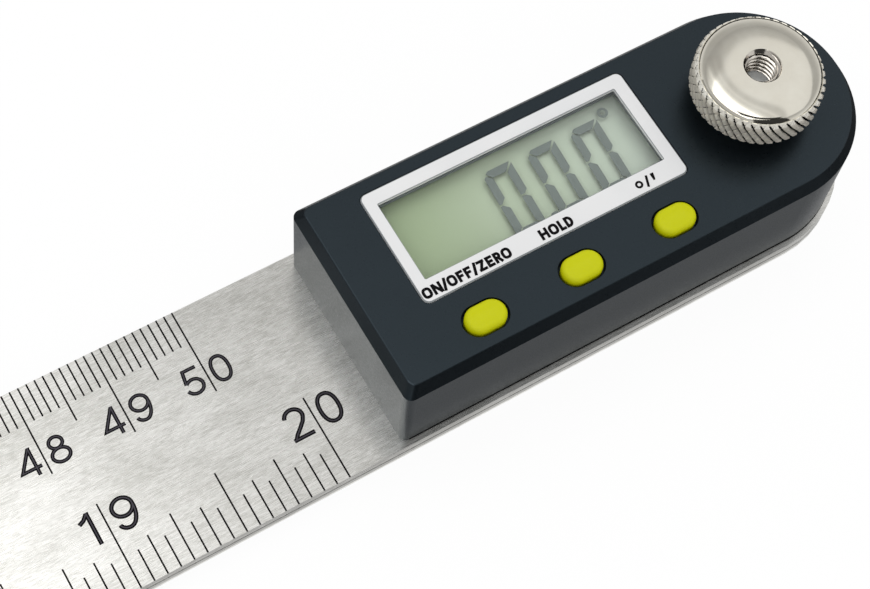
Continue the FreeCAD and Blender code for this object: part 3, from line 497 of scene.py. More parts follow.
NODE_LOOKS = {
    "lower_blade": LOWER_SHADED_STEEL,
    "upper_blade": STEEL,
    "housing_shell": HOUSING_AND_SHADE_BLACK,
    "display_bezel": BEZEL_WHITE,
    "display_lens": LENS,
    "pivot_stud": STUD_LIT_WHITE,
    "thrust_washer": NICKEL,
    "display_backing": moulded("reflector foil", colour(180, 190, 170), colour(170, 180, 160), 0.4),
    "contact_strips": moulded("strip rubber", colour(40, 40, 42), colour(60, 60, 62), 0.7),
    "circuit_board": board_green("board laminate"),
    "angle_rotor": board_green("rotor laminate"),
    "chip_cap": moulded("chip resin", colour(16, 16, 17), colour(26, 26, 27), 0.25),
    "board_chips": moulded("chip ceramic", colour(150, 126, 100), colour(168, 142, 112), 0.6),
    "button_switches": moulded("switch plastic", colour(34, 34, 36), colour(48, 48, 50), 0.5),
    "battery_holder": moulded("holder plastic", colour(28, 28, 30), colour(40, 40, 42), 0.5),
    "battery_cover": moulded("cover plastic", colour(26, 28, 31), colour(38, 40, 43), 0.45),
    "blade_washer": moulded("washer plastic", colour(228, 224, 208), colour(214, 210, 194), 0.5),
    "rotor_hub": moulded("hub plastic", colour(232, 230, 222), colour(220, 218, 208), 0.5),
    "zero_plunger": moulded("plunger plastic", colour(226, 226, 222), colour(214, 214, 210), 0.45),
    "cover_seal": moulded("seal rubber", colour(24, 24, 25), colour(36, 36, 37), 0.75),
    "pivot_bushing": turned_metal("bushing brass", colour(214, 178, 96), colour(196, 160, 84), 0.3),
    "spring_washer": turned_metal("spring steel", colour(170, 170, 172), colour(150, 150, 153), 0.35),
    "board_screws": turned_metal("zinc screw", colour(205, 205, 200), colour(186, 186, 182), 0.3),
    "quartz_can": turned_metal("can metal", colour(214, 214, 214), colour(198, 198, 199), 0.25),
    "negative_contact": turned_metal("contact nickel", colour(214, 208, 190), colour(198, 192, 176), 0.28),
    "housing_screws": moulded("black screw", colour(30, 30, 32), colour(52, 52, 54), 0.35),
}
SAME_LOOKS = {
    "hold_plunger": "zero_plunger", "unit_plunger": "zero_plunger", "roof_bushing": "pivot_bushing",
    "retaining_clip": "spring_washer", "coin_cell": "quartz_can", "positive_contact": "negative_contact",
}


def dress(node, material):
    """Give a CAD node its material."""
    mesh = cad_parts[node].data
    mesh.materials.clear()
    mesh.materials.append(material)


for node, look in NODE_LOOKS.items():
    dress(node, look)
for node, twin in SAME_LOOKS.items():
    dress(node, NODE_LOOKS[twin])


# Engraved scales

def scale_marks(plates, start):
    """Ticks of both scales, from the ruler's free end."""
    half = MARK_WIDE / 2
    edge = UPPER[1].y / MM
    for count in range(1, METRIC_COUNT + 1):
        kind = next(step for step in METRIC_ENDS if count % step == 0)
        x = start + count
        plates.bar(x - half, METRIC_ENDS[kind], x + half, edge)
    for count in range(1, INCH_COUNT + 1):
        kind = next(step for step in INCH_ENDS if count % step == 0)
        x = start + count * INCH / INCH_PARTS
        plates.bar(x - half, -edge, x + half, -INCH_ENDS[kind])


def scale_numbers(plates, start, step, count, digit, share):
    """Numbers that straddle their ticks, one digit on each side."""
    strokes = digit_strokes()
    for number in range(1, count + 1):
        text = str(number)
        x = start + number * step
        places = (digit["left"], digit["right"])
        for letter, place in zip(text, places if len(text) > 1 else places[1:]):
            draw_strokes(plates, strokes[letter], x + place, digit["base"], digit["high"],
                         DIGIT_STROKE_SHARE * share)


def make_scale(name, ruler, body, slot):
    """Ticks and digits in black, and the paler floor of the digits' grooves."""
    top = ruler[1].z
    start = ruler[0].x / MM
    black = Plates(top, top + MARK_HIGH * MM)
    floor = Plates(top + MARK_HIGH * MM, top + GROOVE_HIGH * MM)
    scale_marks(black, start)
    for plates, share in ((black, 1.0), (floor, GROOVE_SHARE)):
        scale_numbers(plates, start, CENTIMETRE, METRIC_COUNT // CENTIMETRE, METRIC_DIGIT, share)
        scale_numbers(plates, start, INCH, INCH_COUNT // INCH_PARTS, INCH_DIGIT, share)
    finish_piece(black.build(name), body, slot, INK_AND_SHADOW_BLACK)
    finish_piece(floor.build(name + "_grooves"), body, slot, GROOVE_INK)


make_scale("upper_scale", UPPER, "head", "upper_steel")
make_scale("lower_scale", LOWER, "arm", "lower_steel")


# Window frame with its bevelled edge, and its labels. Rectangles go left, near, right, far

CORNER_STEPS = 8
FRAME_INSETS = (0.03, 0.03, 0.08, 0.06)
FRAME_CORNER = 0.85
FRAME_BEVEL = 0.13
WINDOW_CORNER = 0.12
WINDOW_BEVEL = 0.07
EDGE_RINGS = (1, 3)
WINDOW = (-43.98, -1.8, -12.95, 8.56)
LABEL_HIGH = 1.33
LABEL_THICK = 0.02
LABELS = [("ON/OFF/ZERO", -45.2, -4.0), ("HOLD", -30.32, -4.0)]
UNIT_MARK_PLACE = (-17.2, -3.22)
UNIT_RING_RADIUS = 0.34
UNIT_RING_STROKE = 0.26
UNIT_SLASH = [(0.81, -0.74), (1.29, 0.62)]
UNIT_SLASH_STROKE = 0.28
UNIT_WEDGE = [(1.76, -0.3), (2.0, -0.3), (2.22, 0.58), (1.76, 0.58)]


def rounded(x0, y0, x1, y1, radius):
    """Points round a rectangle with round corners, counter-clockwise, always as many."""
    points = []
    for x, y, start in ((x1 - radius, y0 + radius, -90), (x1 - radius, y1 - radius, 0),
                        (x0 + radius, y1 - radius, 90), (x0 + radius, y0 + radius, 180)):
        points += arc(x, y, radius, radius, start, start + 90, CORNER_STEPS)
    return points


def shrunk(rectangle, inset):
    """A rectangle with each side moved inwards."""
    x0, y0, x1, y1 = rectangle
    return x0 + inset, y0 + inset, x1 - inset, y1 - inset


def ring_mesh(name, rings):
    """A closed mesh through rings of as many points each, given as (points, height)."""
    count = len(rings[0][0])
    points = [(x * MM, y * MM, z * MM) for ring, z in rings for x, y in ring]
    faces = []
    for row in range(len(rings)):
        a = row * count
        b = (row + 1) % len(rings) * count
        for i in range(count):
            j = (i + 1) % count
            faces.append([a + i, a + j, b + j, b + i])
    return new_mesh(name, points, faces)


def make_frame():
    """The printed frame, with a darker bevel outside and round the window."""
    low, high = BEZEL[0] / MM, BEZEL[1] / MM
    left, near, right, far = FRAME_INSETS
    outer = (low.x + left, low.y + near, high.x - right, high.y - far)
    face = shrunk(outer, FRAME_BEVEL)
    lip = shrunk(WINDOW, -WINDOW_BEVEL)
    rings = [(rounded(*outer, FRAME_CORNER), low.z),
             (rounded(*outer, FRAME_CORNER), high.z - FRAME_BEVEL),
             (rounded(*face, FRAME_CORNER - FRAME_BEVEL), high.z),
             (rounded(*lip, WINDOW_CORNER + WINDOW_BEVEL), high.z),
             (rounded(*WINDOW, WINDOW_CORNER), high.z - WINDOW_BEVEL),
             (rounded(*WINDOW, WINDOW_CORNER), low.z)]
    piece = ring_mesh("window_frame", rings)
    finish_piece(piece, "head", "bezel_print", BEZEL_WHITE, "display_bezel")
    count = len(rings[0][0])
    looks = [1 if row in EDGE_RINGS else 0 for row in range(len(rings)) for i in range(count)]
    add_looks(piece, looks, BEZEL_EDGE)


def make_labels():
    """The printed words, and a unit mark of a ring, a slash and a wedge."""
    top = BEZEL[1].z
    plates = Plates(top, top + LABEL_THICK * MM)
    letters = letter_strokes()
    for text, x, y in LABELS:
        for letter in text:
            advance, strokes = letters[letter]
            draw_strokes(plates, strokes, x, y, LABEL_HIGH, LETTER_STROKE_SHARE)
            x += advance * LABEL_HIGH
    x, y = UNIT_MARK_PLACE
    plates.ribbon(loop(x, y, UNIT_RING_RADIUS, UNIT_RING_RADIUS), UNIT_RING_STROKE, True)
    plates.ribbon([(x + px, y + py) for px, py in UNIT_SLASH], UNIT_SLASH_STROKE)
    plates.polygon([(x + px, y + py) for px, py in UNIT_WEDGE])
    finish_piece(plates.build("window_labels"), "head", "bezel_print", LABEL_INK)


make_frame()
make_labels()


# Display cell: reflector, segments and clear cover

DIGIT_WIDE = 3.78
DIGIT_RIGHTS = (-27.62, -21.87, -16.1)
DIGIT_BASE = -1.87
DIGIT_TOP = 7.05
SEGMENT_WIDE = 0.98
SEGMENT_GAP = 0.15
SEGMENT_CORNER = 0.62
POINT_PLACE = (-26.75, -1.35)
POINT_WIDE = 0.95
POINT_POWER = 3.0
DEGREE_PLACE = (-15.02, 7.3)
DEGREE_RADIUS = 0.5
DEGREE_STROKE = 0.31
CELL_SPLIT = 0.6
COVER_GAP = 0.02
SEGMENT_DEPTHS = (0.05, 0.03)
DIGIT_LEAN_SHARE = 0.052
SPACER = (-44.12, -2.07, -12.48, 8.87)
SPACER_WALL = 0.14
SPACER_HEIGHTS = (14.18, 14.78)


def segment_outlines():
    """The six lit segments of a nought, with mitred ends and a cut upper left corner.

    What is taken off or added at a corner is a share of the segment's width or of the gap.
    """
    wide = DIGIT_WIDE
    high = DIGIT_TOP - DIGIT_BASE
    thick = SEGMENT_WIDE
    gap = SEGMENT_GAP
    middle = high / 2
    corner = SEGMENT_CORNER
    side = [(0, middle + gap), (thick * 0.35, middle + gap * 0.6), (thick, middle + thick * 0.55 + gap),
            (thick, high - thick - gap * 0.7), (corner * 0.55, high - corner * 0.55 - gap),
            (0, high - corner - gap)]
    right = [(wide - thick, middle + gap * 0.8), (wide - thick * 0.45, middle + gap * 0.8),
             (wide, middle + thick * 0.4 + gap), (wide, high - gap * 1.4),
             (wide - thick, high - thick - gap * 1.4)]
    cap = [(thick + gap * 0.3, high - thick), (wide - thick - gap * 0.3, high - thick),
           (wide - gap * 1.2, high - 0.02), (wide - gap * 2.4, high), (corner * 1.2, high),
           (corner * 0.55 + gap * 0.5, high - corner * 0.45)]
    upper = [side, right, cap]
    lower = [[(x, high - y) for x, y in reversed(outline)] for outline in upper]
    return upper + lower


def make_cell():
    """The reflector, the clear cover over it and the lit segments in that cover."""
    low, high = GLASS
    split = high.z - CELL_SPLIT * MM
    sides = (low.x / MM, low.y / MM, high.x / MM, high.y / MM)
    cell = Plates(low.z, split)
    cell.bar(*sides)
    finish_piece(cell.build("display_cell"), "head", "display_grey", CELL_GREY, "display_glass")
    cover = Plates(split + COVER_GAP * MM, high.z)
    cover.bar(*sides)
    finish_piece(cover.build("display_cover"), "head", "display_grey", CELL_COVER)
    deep, shallow = SEGMENT_DEPTHS
    digits = Plates(high.z - deep * MM, high.z - shallow * MM)
    for end in DIGIT_RIGHTS:
        for outline in segment_outlines():
            digits.polygon([(end - DIGIT_WIDE + x + (DIGIT_BASE + y - DIGIT_TOP) * DIGIT_LEAN_SHARE,
                             DIGIT_BASE + y) for x, y in outline])
    digits.polygon(loop(*POINT_PLACE, POINT_WIDE / 2, POINT_WIDE / 2, POINT_POWER))
    digits.ribbon(loop(*DEGREE_PLACE, DEGREE_RADIUS, DEGREE_RADIUS), DEGREE_STROKE, True)
    finish_piece(digits.build("display_segments"), "head", "display_grey", SEGMENT)


def make_spacer():
    """The grey spacer between the glass and the lens, seen at the window's edges."""
    low, high = SPACER_HEIGHTS
    inner = rounded(*shrunk(SPACER, SPACER_WALL), WINDOW_CORNER)
    outer = rounded(*SPACER, WINDOW_CORNER)
    rings = [(outer, low), (outer, high), (inner, high), (inner, low)]
    finish_piece(ring_mesh("window_spacer", rings), "head", "bezel_print", SPACER_GREY)


make_cell()
make_spacer()


# Painted contact shadow: a dark band at the housing's foot, where its wall meets the ruler

FOOT_HIGH = 0.3
FOOT_PROUD = 0.03
FOOT_WALL = 0.2
FOOT_CORNER = 1.0
FOOT_END_INSET = 0.15
FOOT_ROUND_STEPS = 96


def tongue(inset):
    """Points round the housing's outline, counter-clockwise; its flat end is set in, where no painted shadow
    shows.
    """
    radius = HOUSING[1].y / MM - inset
    left = HOUSING[0].x / MM + inset + FOOT_END_INSET
    corner = FOOT_CORNER
    return (arc(0, 0, radius, radius, -90, 90, FOOT_ROUND_STEPS)
            + arc(left + corner, radius - corner, corner, corner, 90, 180, CORNER_STEPS)
            + arc(left + corner, corner - radius, corner, corner, 180, 270, CORNER_STEPS))


def make_foot_line():
    """A low black band of painted contact shadow, standing a little proud of the housing's wall."""
    low = HOUSING[0].z / MM
    high = low + FOOT_HIGH
    outer, inner = tongue(-FOOT_PROUD), tongue(FOOT_WALL)
    rings = [(outer, low), (outer, high), (inner, high), (inner, low)]
    finish_piece(ring_mesh("foot_shadow", rings), "head", "housing_plastic", INK_AND_SHADOW_BLACK)


make_foot_line()


# Buttons

BUTTON_STEPS = 20
CAP_LONG = 4.96
CAP_WIDE = 3.34
CAP_CROWN = 0.14
CAP_ROUND = 0.7
CAP_SHARP_ANGLE = 40
CAP_NARROWEST = 0.02
ROUND_STEPS = 8
CROWN_STEPS = 6
FLANGE_FROM = 1.06
FLANGE_THICK = 0.7
FLANGE_WIDE = 0.45
FLANGE_RINGS = 2


def stadium(long, wide, steps):
    """Points round a stadium outline, counter-clockwise."""
    radius = wide / 2
    run = long / 2 - radius
    right = [(run + radius * math.cos(a), radius * math.sin(a))
             for a in (math.pi * (i / steps - 0.5) for i in range(steps + 1))]
    left = [(-x, -y) for x, y in right]
    return right + left


def make_button(name, body, node):
    """A domed cap on its flange, whose faces are black as painted shade in the gap round the cap."""
    low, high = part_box(node)
    centre = (low + high) / 2
    crown = high.z / MM - CAP_CROWN
    flange = low.z / MM + FLANGE_FROM
    rings = [(flange, -FLANGE_WIDE), (flange + FLANGE_THICK, -FLANGE_WIDE),
             (flange + FLANGE_THICK, 0.0), (crown - CAP_ROUND, 0.0)]
    for i in range(1, ROUND_STEPS + 1):
        angle = math.pi / 2 * i / ROUND_STEPS
        rings.append((crown - CAP_ROUND + CAP_ROUND * math.sin(angle),
                      CAP_ROUND * (1 - math.cos(angle))))
    for i in range(1, CROWN_STEPS):
        share = i / CROWN_STEPS
        rings.append((crown + CAP_CROWN * (1 - (1 - share) ** 2),
                      CAP_ROUND + (CAP_WIDE / 2 - CAP_ROUND) * share))
    points = []
    for z, inset in rings:
        for x, y in stadium(CAP_LONG - 2 * inset, max(CAP_WIDE - 2 * inset, CAP_NARROWEST), BUTTON_STEPS):
            points.append((centre.x + x * MM, centre.y + y * MM, z * MM))
    faces = []
    looks = []
    count = 2 * (BUTTON_STEPS + 1)
    for ring in range(len(rings) - 1):
        a = ring * count
        b = a + count
        for i in range(count):
            j = (i + 1) % count
            faces.append([a + i, a + j, b + j, b + i])
            # The flange rings and the bottom face take the black: painted shade in the gap round the cap
            looks.append(1 if ring < FLANGE_RINGS else 0)
    last = (len(rings) - 1) * count
    faces.append(list(reversed(range(count))))
    faces.append(list(range(last, last + count)))
    looks += [1, 0]
    piece = new_mesh(name, points, faces, smooth=True)
    piece.data.set_sharp_from_angle(angle=math.radians(CAP_SHARP_ANGLE))
    finish_piece(piece, body, "button_plastic", BUTTON_GREEN, node)
    add_looks(piece, looks, HOUSING_AND_SHADE_BLACK)


for key in ("zero", "hold", "unit"):
    make_button(key + "_cap", key + "_key", key + "_button")


# Lock knob: neck, diamond knurl, domed top, countersunk hole and its thread

KNURL_COUNT = 44
KNURL_DEPTH = 0.36
KNURL_LEAN_SHARE = 0.72
KNURL_GROOVE_SHARE = 0.42
CROSS_DEPTH_SHARE = 0.45
CROSS_GROOVE_SHARE = 0.22
CROSS_DARK_DROP = 0.6
KNURL_FOOT_SHARE = 0.4
KNURL_FADE_SHARE = 0.45
KNURL_LIP_SHARE = 0.2
KNURL_LEAST_SHARE = 0.3
DARK_FROM_SHARE = 0.26
HIGHLIGHT_FROM_SHARE = 0.3
DARK_TO_SHARE = 0.55
KNOB_STEPS = KNURL_COUNT * 16
KNOB_SHARP_ANGLE = 20
BEVEL_ROWS = 4
BAND_ROWS = 30
RIM_ROWS = 12
ROLL_ROWS = 8
DOME_ROWS = 36
KNOB_RADIUS = 7.48
NECK_RADIUS = 4.2
NECK_HIGH = 2.1
FOOT_BEVEL = 0.3
BAND_TOP = 5.05
RIM_RADIUS = 7.08
RIM_TOP = 5.84
RIM_LIP = 0.06
DOME_POWER = 4.0
ROLL_RADIUS = 1.3
ROLL_FROM = 32
ROLL_TO = 66
MOUTH_RADIUS = 2.2
LIP_DEPTH = 0.05
BORE_RADIUS = 2.12
SINK_SLOPE = 0.85
SINK_DEPTH = 0.4
THREAD_CREST = 1.64
THREAD_DEPTH = 0.44
THREAD_PITCH = 0.7
THREAD_SLOPE = 1.6
THREAD_LAND_SHARE = 0.2
THREAD_DARK_SHARE = 0.5
THREAD_STEPS = 96
THREAD_ROWS = 14
KNOB_BASE = KNOB[0].z / MM
KNOB_HIGH = (KNOB[1].z - KNOB[0].z) / MM


def wrap(value):
    """How far a phase lies from the middle of its groove, 0 to 1."""
    return abs(value - math.floor(value) - 0.5) * 2


def knurl(angle, z):
    """The crossing helical grooves at a point of the band: their depth and how much painted shade their
    floor gets.
    """
    along = KNURL_COUNT * angle / math.tau
    climb = z * KNURL_LEAN_SHARE * KNURL_COUNT / (math.tau * KNOB_RADIUS)
    deep = 1 - wrap(along + climb) / KNURL_GROOVE_SHARE
    cross = 1 - wrap(along - climb) / CROSS_GROOVE_SHARE
    return max(0.0, deep, CROSS_DEPTH_SHARE * cross), max(deep, cross - CROSS_DARK_DROP)


def knob_profile():
    """Radius, height and the knurl's share of its depth there, from the bore's foot round to the mouth."""
    yield BORE_RADIUS, 0, 0
    yield NECK_RADIUS, 0, 0
    yield NECK_RADIUS, NECK_HIGH, 0
    for i in range(BEVEL_ROWS + 1):
        share = i / BEVEL_ROWS
        yield (KNOB_RADIUS - FOOT_BEVEL * (1 - share), NECK_HIGH + FOOT_BEVEL * share,
               KNURL_FOOT_SHARE + (1 - KNURL_FOOT_SHARE) * share)
    band = NECK_HIGH + FOOT_BEVEL
    for i in range(1, BAND_ROWS + 1):
        yield KNOB_RADIUS, band + (BAND_TOP - band) * i / BAND_ROWS, 1
    for i in range(1, RIM_ROWS + 1):
        share = i / RIM_ROWS
        yield (KNOB_RADIUS + (RIM_RADIUS - KNOB_RADIUS) * share, BAND_TOP + (RIM_TOP - BAND_TOP) * share,
               1 - KNURL_FADE_SHARE * share)
    yield RIM_RADIUS - RIM_LIP, RIM_TOP + RIM_LIP / 2, KNURL_LIP_SHARE
    foot = RIM_RADIUS - 2 * RIM_LIP
    start, end = math.radians(ROLL_FROM), math.radians(ROLL_TO)
    for i in range(ROLL_ROWS):
        angle = start + (end - start) * i / ROLL_ROWS
        yield (foot - ROLL_RADIUS * (math.cos(start) - math.cos(angle)),
               RIM_TOP + ROLL_RADIUS * (math.sin(angle) - math.sin(start)), 0)
    foot -= ROLL_RADIUS * (math.cos(start) - math.cos(end))
    edge = RIM_TOP + ROLL_RADIUS * (math.sin(end) - math.sin(start))
    for i in range(DOME_ROWS + 1):
        share = 1 - i / DOME_ROWS
        yield (MOUTH_RADIUS + (foot - MOUTH_RADIUS) * share,
               KNOB_HIGH - (KNOB_HIGH - edge) * share ** DOME_POWER, 0)
    yield MOUTH_RADIUS - LIP_DEPTH, KNOB_HIGH - LIP_DEPTH, 0
    yield BORE_RADIUS, KNOB_HIGH - 4 * LIP_DEPTH, 0


def knob_point(radius, angle, z):
    """A point round the knob's axis, in metres, from millimetres above the knob's foot."""
    return radius * MM * math.cos(angle), radius * MM * math.sin(angle), (KNOB_BASE + z) * MM


def make_knob():
    """The plated knob: plain metal, the knurl, painted shade on its groove floors and a painted highlight on
    the knurl at its shoulder.
    """
    plain, knurled, groove, highlight = range(4)
    points = []
    faces = []
    looks = []
    rings = list(knob_profile())
    highlight_from = BAND_TOP + HIGHLIGHT_FROM_SHARE * (RIM_TOP - BAND_TOP)
    ends = BAND_TOP + DARK_TO_SHARE * (RIM_TOP - BAND_TOP)
    for i, (r, z, cut) in enumerate(rings):
        a = i * KNOB_STEPS
        b = (i + 1) % len(rings) * KNOB_STEPS
        for k in range(KNOB_STEPS):
            angle = math.tau * k / KNOB_STEPS
            depth, floor = knurl(angle, z)
            points.append(knob_point(r - KNURL_DEPTH * cut * depth, angle, z))
            n = (k + 1) % KNOB_STEPS
            faces.append([a + k, a + n, b + n, b + k])
            # Groove floors below the shoulder get painted shade; other knurled faces above its start get a
            # painted highlight
            if cut < KNURL_LEAST_SHARE:
                looks.append(plain)
            elif z < ends and floor > DARK_FROM_SHARE:
                looks.append(groove)
            else:
                looks.append(highlight if z > highlight_from else knurled)
    piece = new_mesh("knurled_knob", points, faces, smooth=True)
    piece.data.set_sharp_from_angle(angle=math.radians(KNOB_SHARP_ANGLE))
    finish_piece(piece, "knob", "knob_nickel", NICKEL, "lock_knob")
    add_looks(piece, looks, KNURL_NICKEL, GROOVE_SHADE_NICKEL, SHOULDER_HIGHLIGHT_NICKEL)


def thread_radius(turn, z):
    """The tapped wall: a helical groove, opened out by the countersink at the top."""
    share = min(1, max(0, (1 - wrap(z / THREAD_PITCH - turn)) * THREAD_SLOPE - THREAD_LAND_SHARE))
    cone = MOUTH_RADIUS - LIP_DEPTH - SINK_SLOPE * (KNOB_HIGH - LIP_DEPTH - z)
    return max(cone, THREAD_CREST + THREAD_DEPTH * share)


def make_thread():
    """The knob's tapped wall, with painted shade in the depth of its groove below the countersink."""
    top = KNOB_HIGH - LIP_DEPTH
    rows = int(top / THREAD_PITCH * THREAD_ROWS)
    points = []
    faces = []
    looks = []
    for i in range(rows + 1):
        z = top * i / rows
        a = i * THREAD_STEPS
        b = a + THREAD_STEPS
        for k in range(THREAD_STEPS):
            turn = k / THREAD_STEPS
            radius = thread_radius(turn, z)
            points.append(knob_point(radius, math.tau * turn, z))
            if i < rows:
                n = (k + 1) % THREAD_STEPS
                faces.append([a + k, b + k, b + n, a + n])
                # The groove's deep faces below the countersink get painted shade
                deep = radius > THREAD_CREST + THREAD_DARK_SHARE * THREAD_DEPTH
                looks.append(1 if deep and z < top - SINK_DEPTH else 0)
    piece = new_mesh("knob_thread", points, faces, smooth=True)
    finish_piece(piece, "knob", "knob_nickel", THREAD_NICKEL)
    add_looks(piece, looks, GROOVE_SHADE_NICKEL)


make_knob()
make_thread()


# Floor, light and camera, in metres

FILL_LEVEL = 0.9
FLOOR_GLOW = 0.94
FLOOR_REACH = 3.0
FLOOR_DROP = 0.00005
KEY_PLACE = (0.24, 0.24, 0.66)
KEY_ENERGY = 1.3
KEY_SIZE = 0.45
KEY_TARGET = (-0.03, 0, 0.01)
WALL_STOPS = [(0.0, 0.75), (0.26, 0.62), (0.5, 0.43), (0.75, 0.4), (1.0, 0.5)]


def flat_card(x0, y0, x1, y1, z):
    """Corners of a level rectangle."""
    return [(x0, y0, z), (x1, y0, z), (x1, y1, z), (x0, y1, z)]


def upright_card(x0, y0, x1, y1, high):
    """Corners of an upright rectangle over a line on the floor."""
    return [(x0, y0, 0), (x1, y1, 0), (x1, y1, high), (x0, y0, high)]


def glow_material(name, shade):
    """A card's glow, from a number or from a function that makes the nodes for it."""
    made = Nodes(name)
    made.tree.nodes.remove(made.shader)
    strength = shade(made) if callable(shade) else shade
    glow = made.add("Emission", Color=(1, 1, 1, 1), Strength=strength)
    made.put(made.output.inputs["Surface"], glow.outputs[0])
    return made.material


def make_floor():
    """Pale floor: white to the eye, with the object's own soft shadow."""
    far = FLOOR_REACH
    floor = new_mesh("floor", flat_card(-far, -far, far, far, -FLOOR_DROP), [[0, 1, 2, 3]])
    made = Nodes("pale floor")
    made.set(Base_Color=(0.93, 0.93, 0.93, 1), Roughness=0.9, Specular_IOR_Level=0.0)
    glow = made.add("Emission", Color=(1, 1, 1, 1), Strength=1.0)
    path = made.add("LightPath").outputs
    seen = made.math("MAXIMUM", path["Is Camera Ray"], path["Is Glossy Ray"])
    seen = made.math("MAXIMUM", seen, path["Is Transmission Ray"])
    mix = made.add("MixShader", Fac=made.math("MULTIPLY", seen, FLOOR_GLOW))
    made.put(mix.inputs[1], made.shader.outputs[0])
    made.put(mix.inputs[2], glow.outputs[0])
    made.put(made.output.inputs["Surface"], mix.outputs[0])
    floor.data.materials.append(made.material)


def make_world():
    """White to the eye, pale grey walls to metal and glass, and an even fill for the rest."""
    world = bpy.data.worlds.new("studio")
    bpy.context.scene.world = world
    world.use_nodes = True
    tree = world.node_tree

    def mix(factor, first, second):
        node = tree.nodes.new("ShaderNodeMix")
        tree.links.new(factor, node.inputs["Factor"])
        for value, socket in ((first, node.inputs["A"]), (second, node.inputs["B"])):
            if isinstance(value, float):
                socket.default_value = value
            else:
                tree.links.new(value, socket)
        return node.outputs["Result"]

    path = tree.nodes.new("ShaderNodeLightPath").outputs
    toward = tree.nodes.new("ShaderNodeSeparateXYZ")
    tree.links.new(tree.nodes.new("ShaderNodeTexCoord").outputs["Generated"], toward.inputs["Vector"])
    walls = tree.nodes.new("ShaderNodeValToRGB")
    tree.links.new(toward.outputs["Z"], walls.inputs["Fac"])
    fill_ramp(walls, [(place, grey(shade)) for place, shade in WALL_STOPS])
    level = mix(path["Is Glossy Ray"], FILL_LEVEL, walls.outputs["Color"])
    level = mix(path["Is Transmission Ray"], level, 1.0)
    level = mix(path["Is Camera Ray"], level, 1.0)
    tree.links.new(level, tree.nodes["Background"].inputs["Strength"])
    tree.nodes["Background"].inputs["Color"].default_value = (1, 1, 1, 1)


def make_lamp(name, place, energy, size):
    """A round soft lamp that looks at the tool and leaves no reflection."""
    lamp = bpy.data.lights.new(name, "AREA")
    lamp.shape = "DISK"
    lamp.size = size
    lamp.energy = energy
    holder = bpy.data.objects.new(name, lamp)
    holder.location = place
    holder.rotation_euler = (Vector(KEY_TARGET) - Vector(place)).to_track_quat("-Z", "Y").to_euler()
    holder.visible_glossy = False
    bpy.context.scene.collection.objects.link(holder)


def make_card(name, corners, shade):
    """A studio card that only shiny surfaces see."""
    card = new_mesh(name, corners, [list(range(i, i + 4)) for i in range(0, len(corners), 4)])
    card.data.materials.append(glow_material(name + " cloth", shade))
    for flag in ("visible_camera", "visible_diffuse", "visible_shadow", "visible_transmission",
                 "visible_volume_scatter"):
        setattr(card, flag, False)


CEILING = 1.2
CEILING_REACH_SHARE = 1.16
CEILING_STOPS = [(-0.95, 2.0), (-0.5, 1.7), (-0.3, 1.4), (-0.18, 1.5), (-0.12, 2.0), (-0.06, 1.8),
                 (0.0, 1.08), (0.05, 0.84), (0.1, 0.7), (0.15, 0.67), (0.21, 0.78), (0.28, 0.6),
                 (0.36, 0.58), (0.43, 0.8), (1.04, 0.76), (1.12, 0.42)]
CEILING_EDGE = [(0.0, 1.0), (0.44, 1.0), (0.5, 0.35), (0.8, 0.06), (1.0, 0.0)]
WALL_LEVEL = 0.36
CLOTH_NEAR = 0.03
CLOTH_SIDE = 0.004
CLOTH_BEHIND = 0.016
CLOTH_REACH = 0.64
CLOTH_LIFT = 0.0004
CLOTH_SHADE = 0.05
SKIRT_STOPS = [(0, 0.56), (0.8, 0.5), (1.7, 0.24), (5, 0.42), (12, 0.42), (30, 0.05)]
LEFT_SHADE = 0.3
FRONT_SHADE = 0.03
LEFT_HIGH = 0.25
FRONT_LEFT = 0.45
FRONT_RIGHT = 0.2
FRONT_HIGH = 0.76
CAMERA_CARD = (-0.02, -0.03, 0.17, 0.035)
CAMERA_CARD_BACK = 0.01
CAMERA_SHADE = 0.01
BRIGHTEST = 2.0


def level_ramp(made, value, stops):
    """A level that follows a value through stops on the value's own scale."""
    low, high = stops[0][0], stops[-1][0]
    ramp = made.add("ValToRGB", Fac=made.span(value, 0, 1, low, high))
    fill_ramp(ramp, [((place - low) / (high - low), grey(level / BRIGHTEST)) for place, level in stops])
    return made.math("MULTIPLY", ramp.outputs["Color"], BRIGHTEST)


def ceiling_level(made):
    """Soft ceiling lights from left to right, which fade out towards the far wall."""
    place = made.add("SeparateXYZ", Vector=made.place((1 / CEILING, 1 / CEILING, 1))).outputs
    light = level_ramp(made, place["X"], CEILING_STOPS)
    edge = level_ramp(made, place["Y"], CEILING_EDGE)
    more = made.math("SUBTRACT", light, WALL_LEVEL)
    return made.math("ADD", made.math("MULTIPLY", more, edge), WALL_LEVEL)


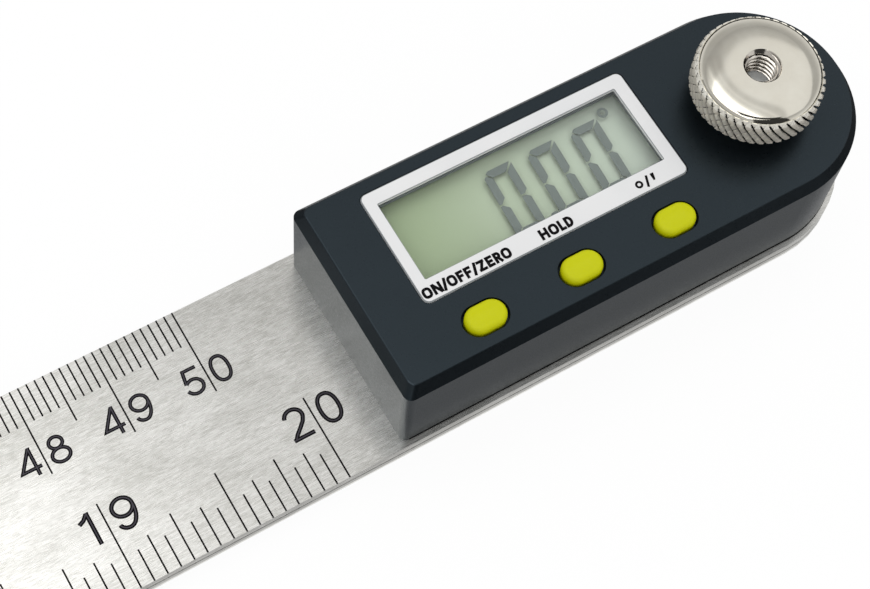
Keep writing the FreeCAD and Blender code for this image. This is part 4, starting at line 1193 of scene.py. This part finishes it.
def skirt_level(made):
    """Along the tool's near side: brightest at its edge, darker just beyond, then paler than the cloth."""
    place = made.add("SeparateXYZ", Vector=made.place((1, -1 / MM, 1))).outputs
    near = made.math("ADD", place["Y"], CAD_BOX[0][1] / MM)
    return level_ramp(made, near, SKIRT_STOPS)


def make_cards():
    """The lit ceiling, a dark cloth and skirt round the closed tool, side cards and the camera's back."""
    high_up = CEILING * CEILING_REACH_SHARE
    make_card("ceiling", flat_card(-CEILING, -CEILING, high_up, CEILING, CEILING), ceiling_level)
    low, high = CAD_BOX
    far = CLOTH_REACH
    x0, y0 = low[0] - CLOTH_SIDE, low[1] - CLOTH_NEAR
    x1, y1 = high[0] + CLOTH_SIDE, high[1] + CLOTH_BEHIND
    strips = (flat_card(-far, -far, far, y0, CLOTH_LIFT) + flat_card(-far, y1, far, far, CLOTH_LIFT)
              + flat_card(x1, y0, far, y1, CLOTH_LIFT) + flat_card(-far, y0, x0, y1, CLOTH_LIFT))
    make_card("dark_cloth", strips, CLOTH_SHADE)
    make_card("near_skirt", flat_card(x0, y0, x1, y1, CLOTH_LIFT), skirt_level)
    make_card("left_card", upright_card(-far, -far, -far, far, LEFT_HIGH), LEFT_SHADE)
    make_card("front_card", upright_card(-FRONT_LEFT, -far, FRONT_RIGHT, -far, FRONT_HIGH), FRONT_SHADE)
    turn = Euler([math.radians(angle) for angle in CAMERA_TURN], "XYZ").to_matrix()
    across, up, back = turn.col[0], turn.col[1], turn.col[2]
    centre = CAMERA_PLACE + back * CAMERA_CARD_BACK
    corners = [centre + across * x + up * y for x, y, z in flat_card(*CAMERA_CARD, 0)]
    make_card("camera_card", corners, CAMERA_SHADE)


def make_camera():
    data = bpy.data.cameras.new("camera")
    data.lens = CAMERA_LENS
    data.sensor_width = CAMERA_SENSOR
    data.clip_start = CAMERA_CLIP
    camera = bpy.data.objects.new("camera", data)
    camera.location = CAMERA_PLACE
    camera.rotation_euler = Euler([math.radians(turn) for turn in CAMERA_TURN], "XYZ")
    bpy.context.scene.collection.objects.link(camera)
    bpy.context.scene.camera = camera


make_floor()
make_world()
make_lamp("key_lamp", KEY_PLACE, KEY_ENERGY, KEY_SIZE)
make_cards()
make_camera()
bpy.context.scene.view_settings.view_transform = "Standard"
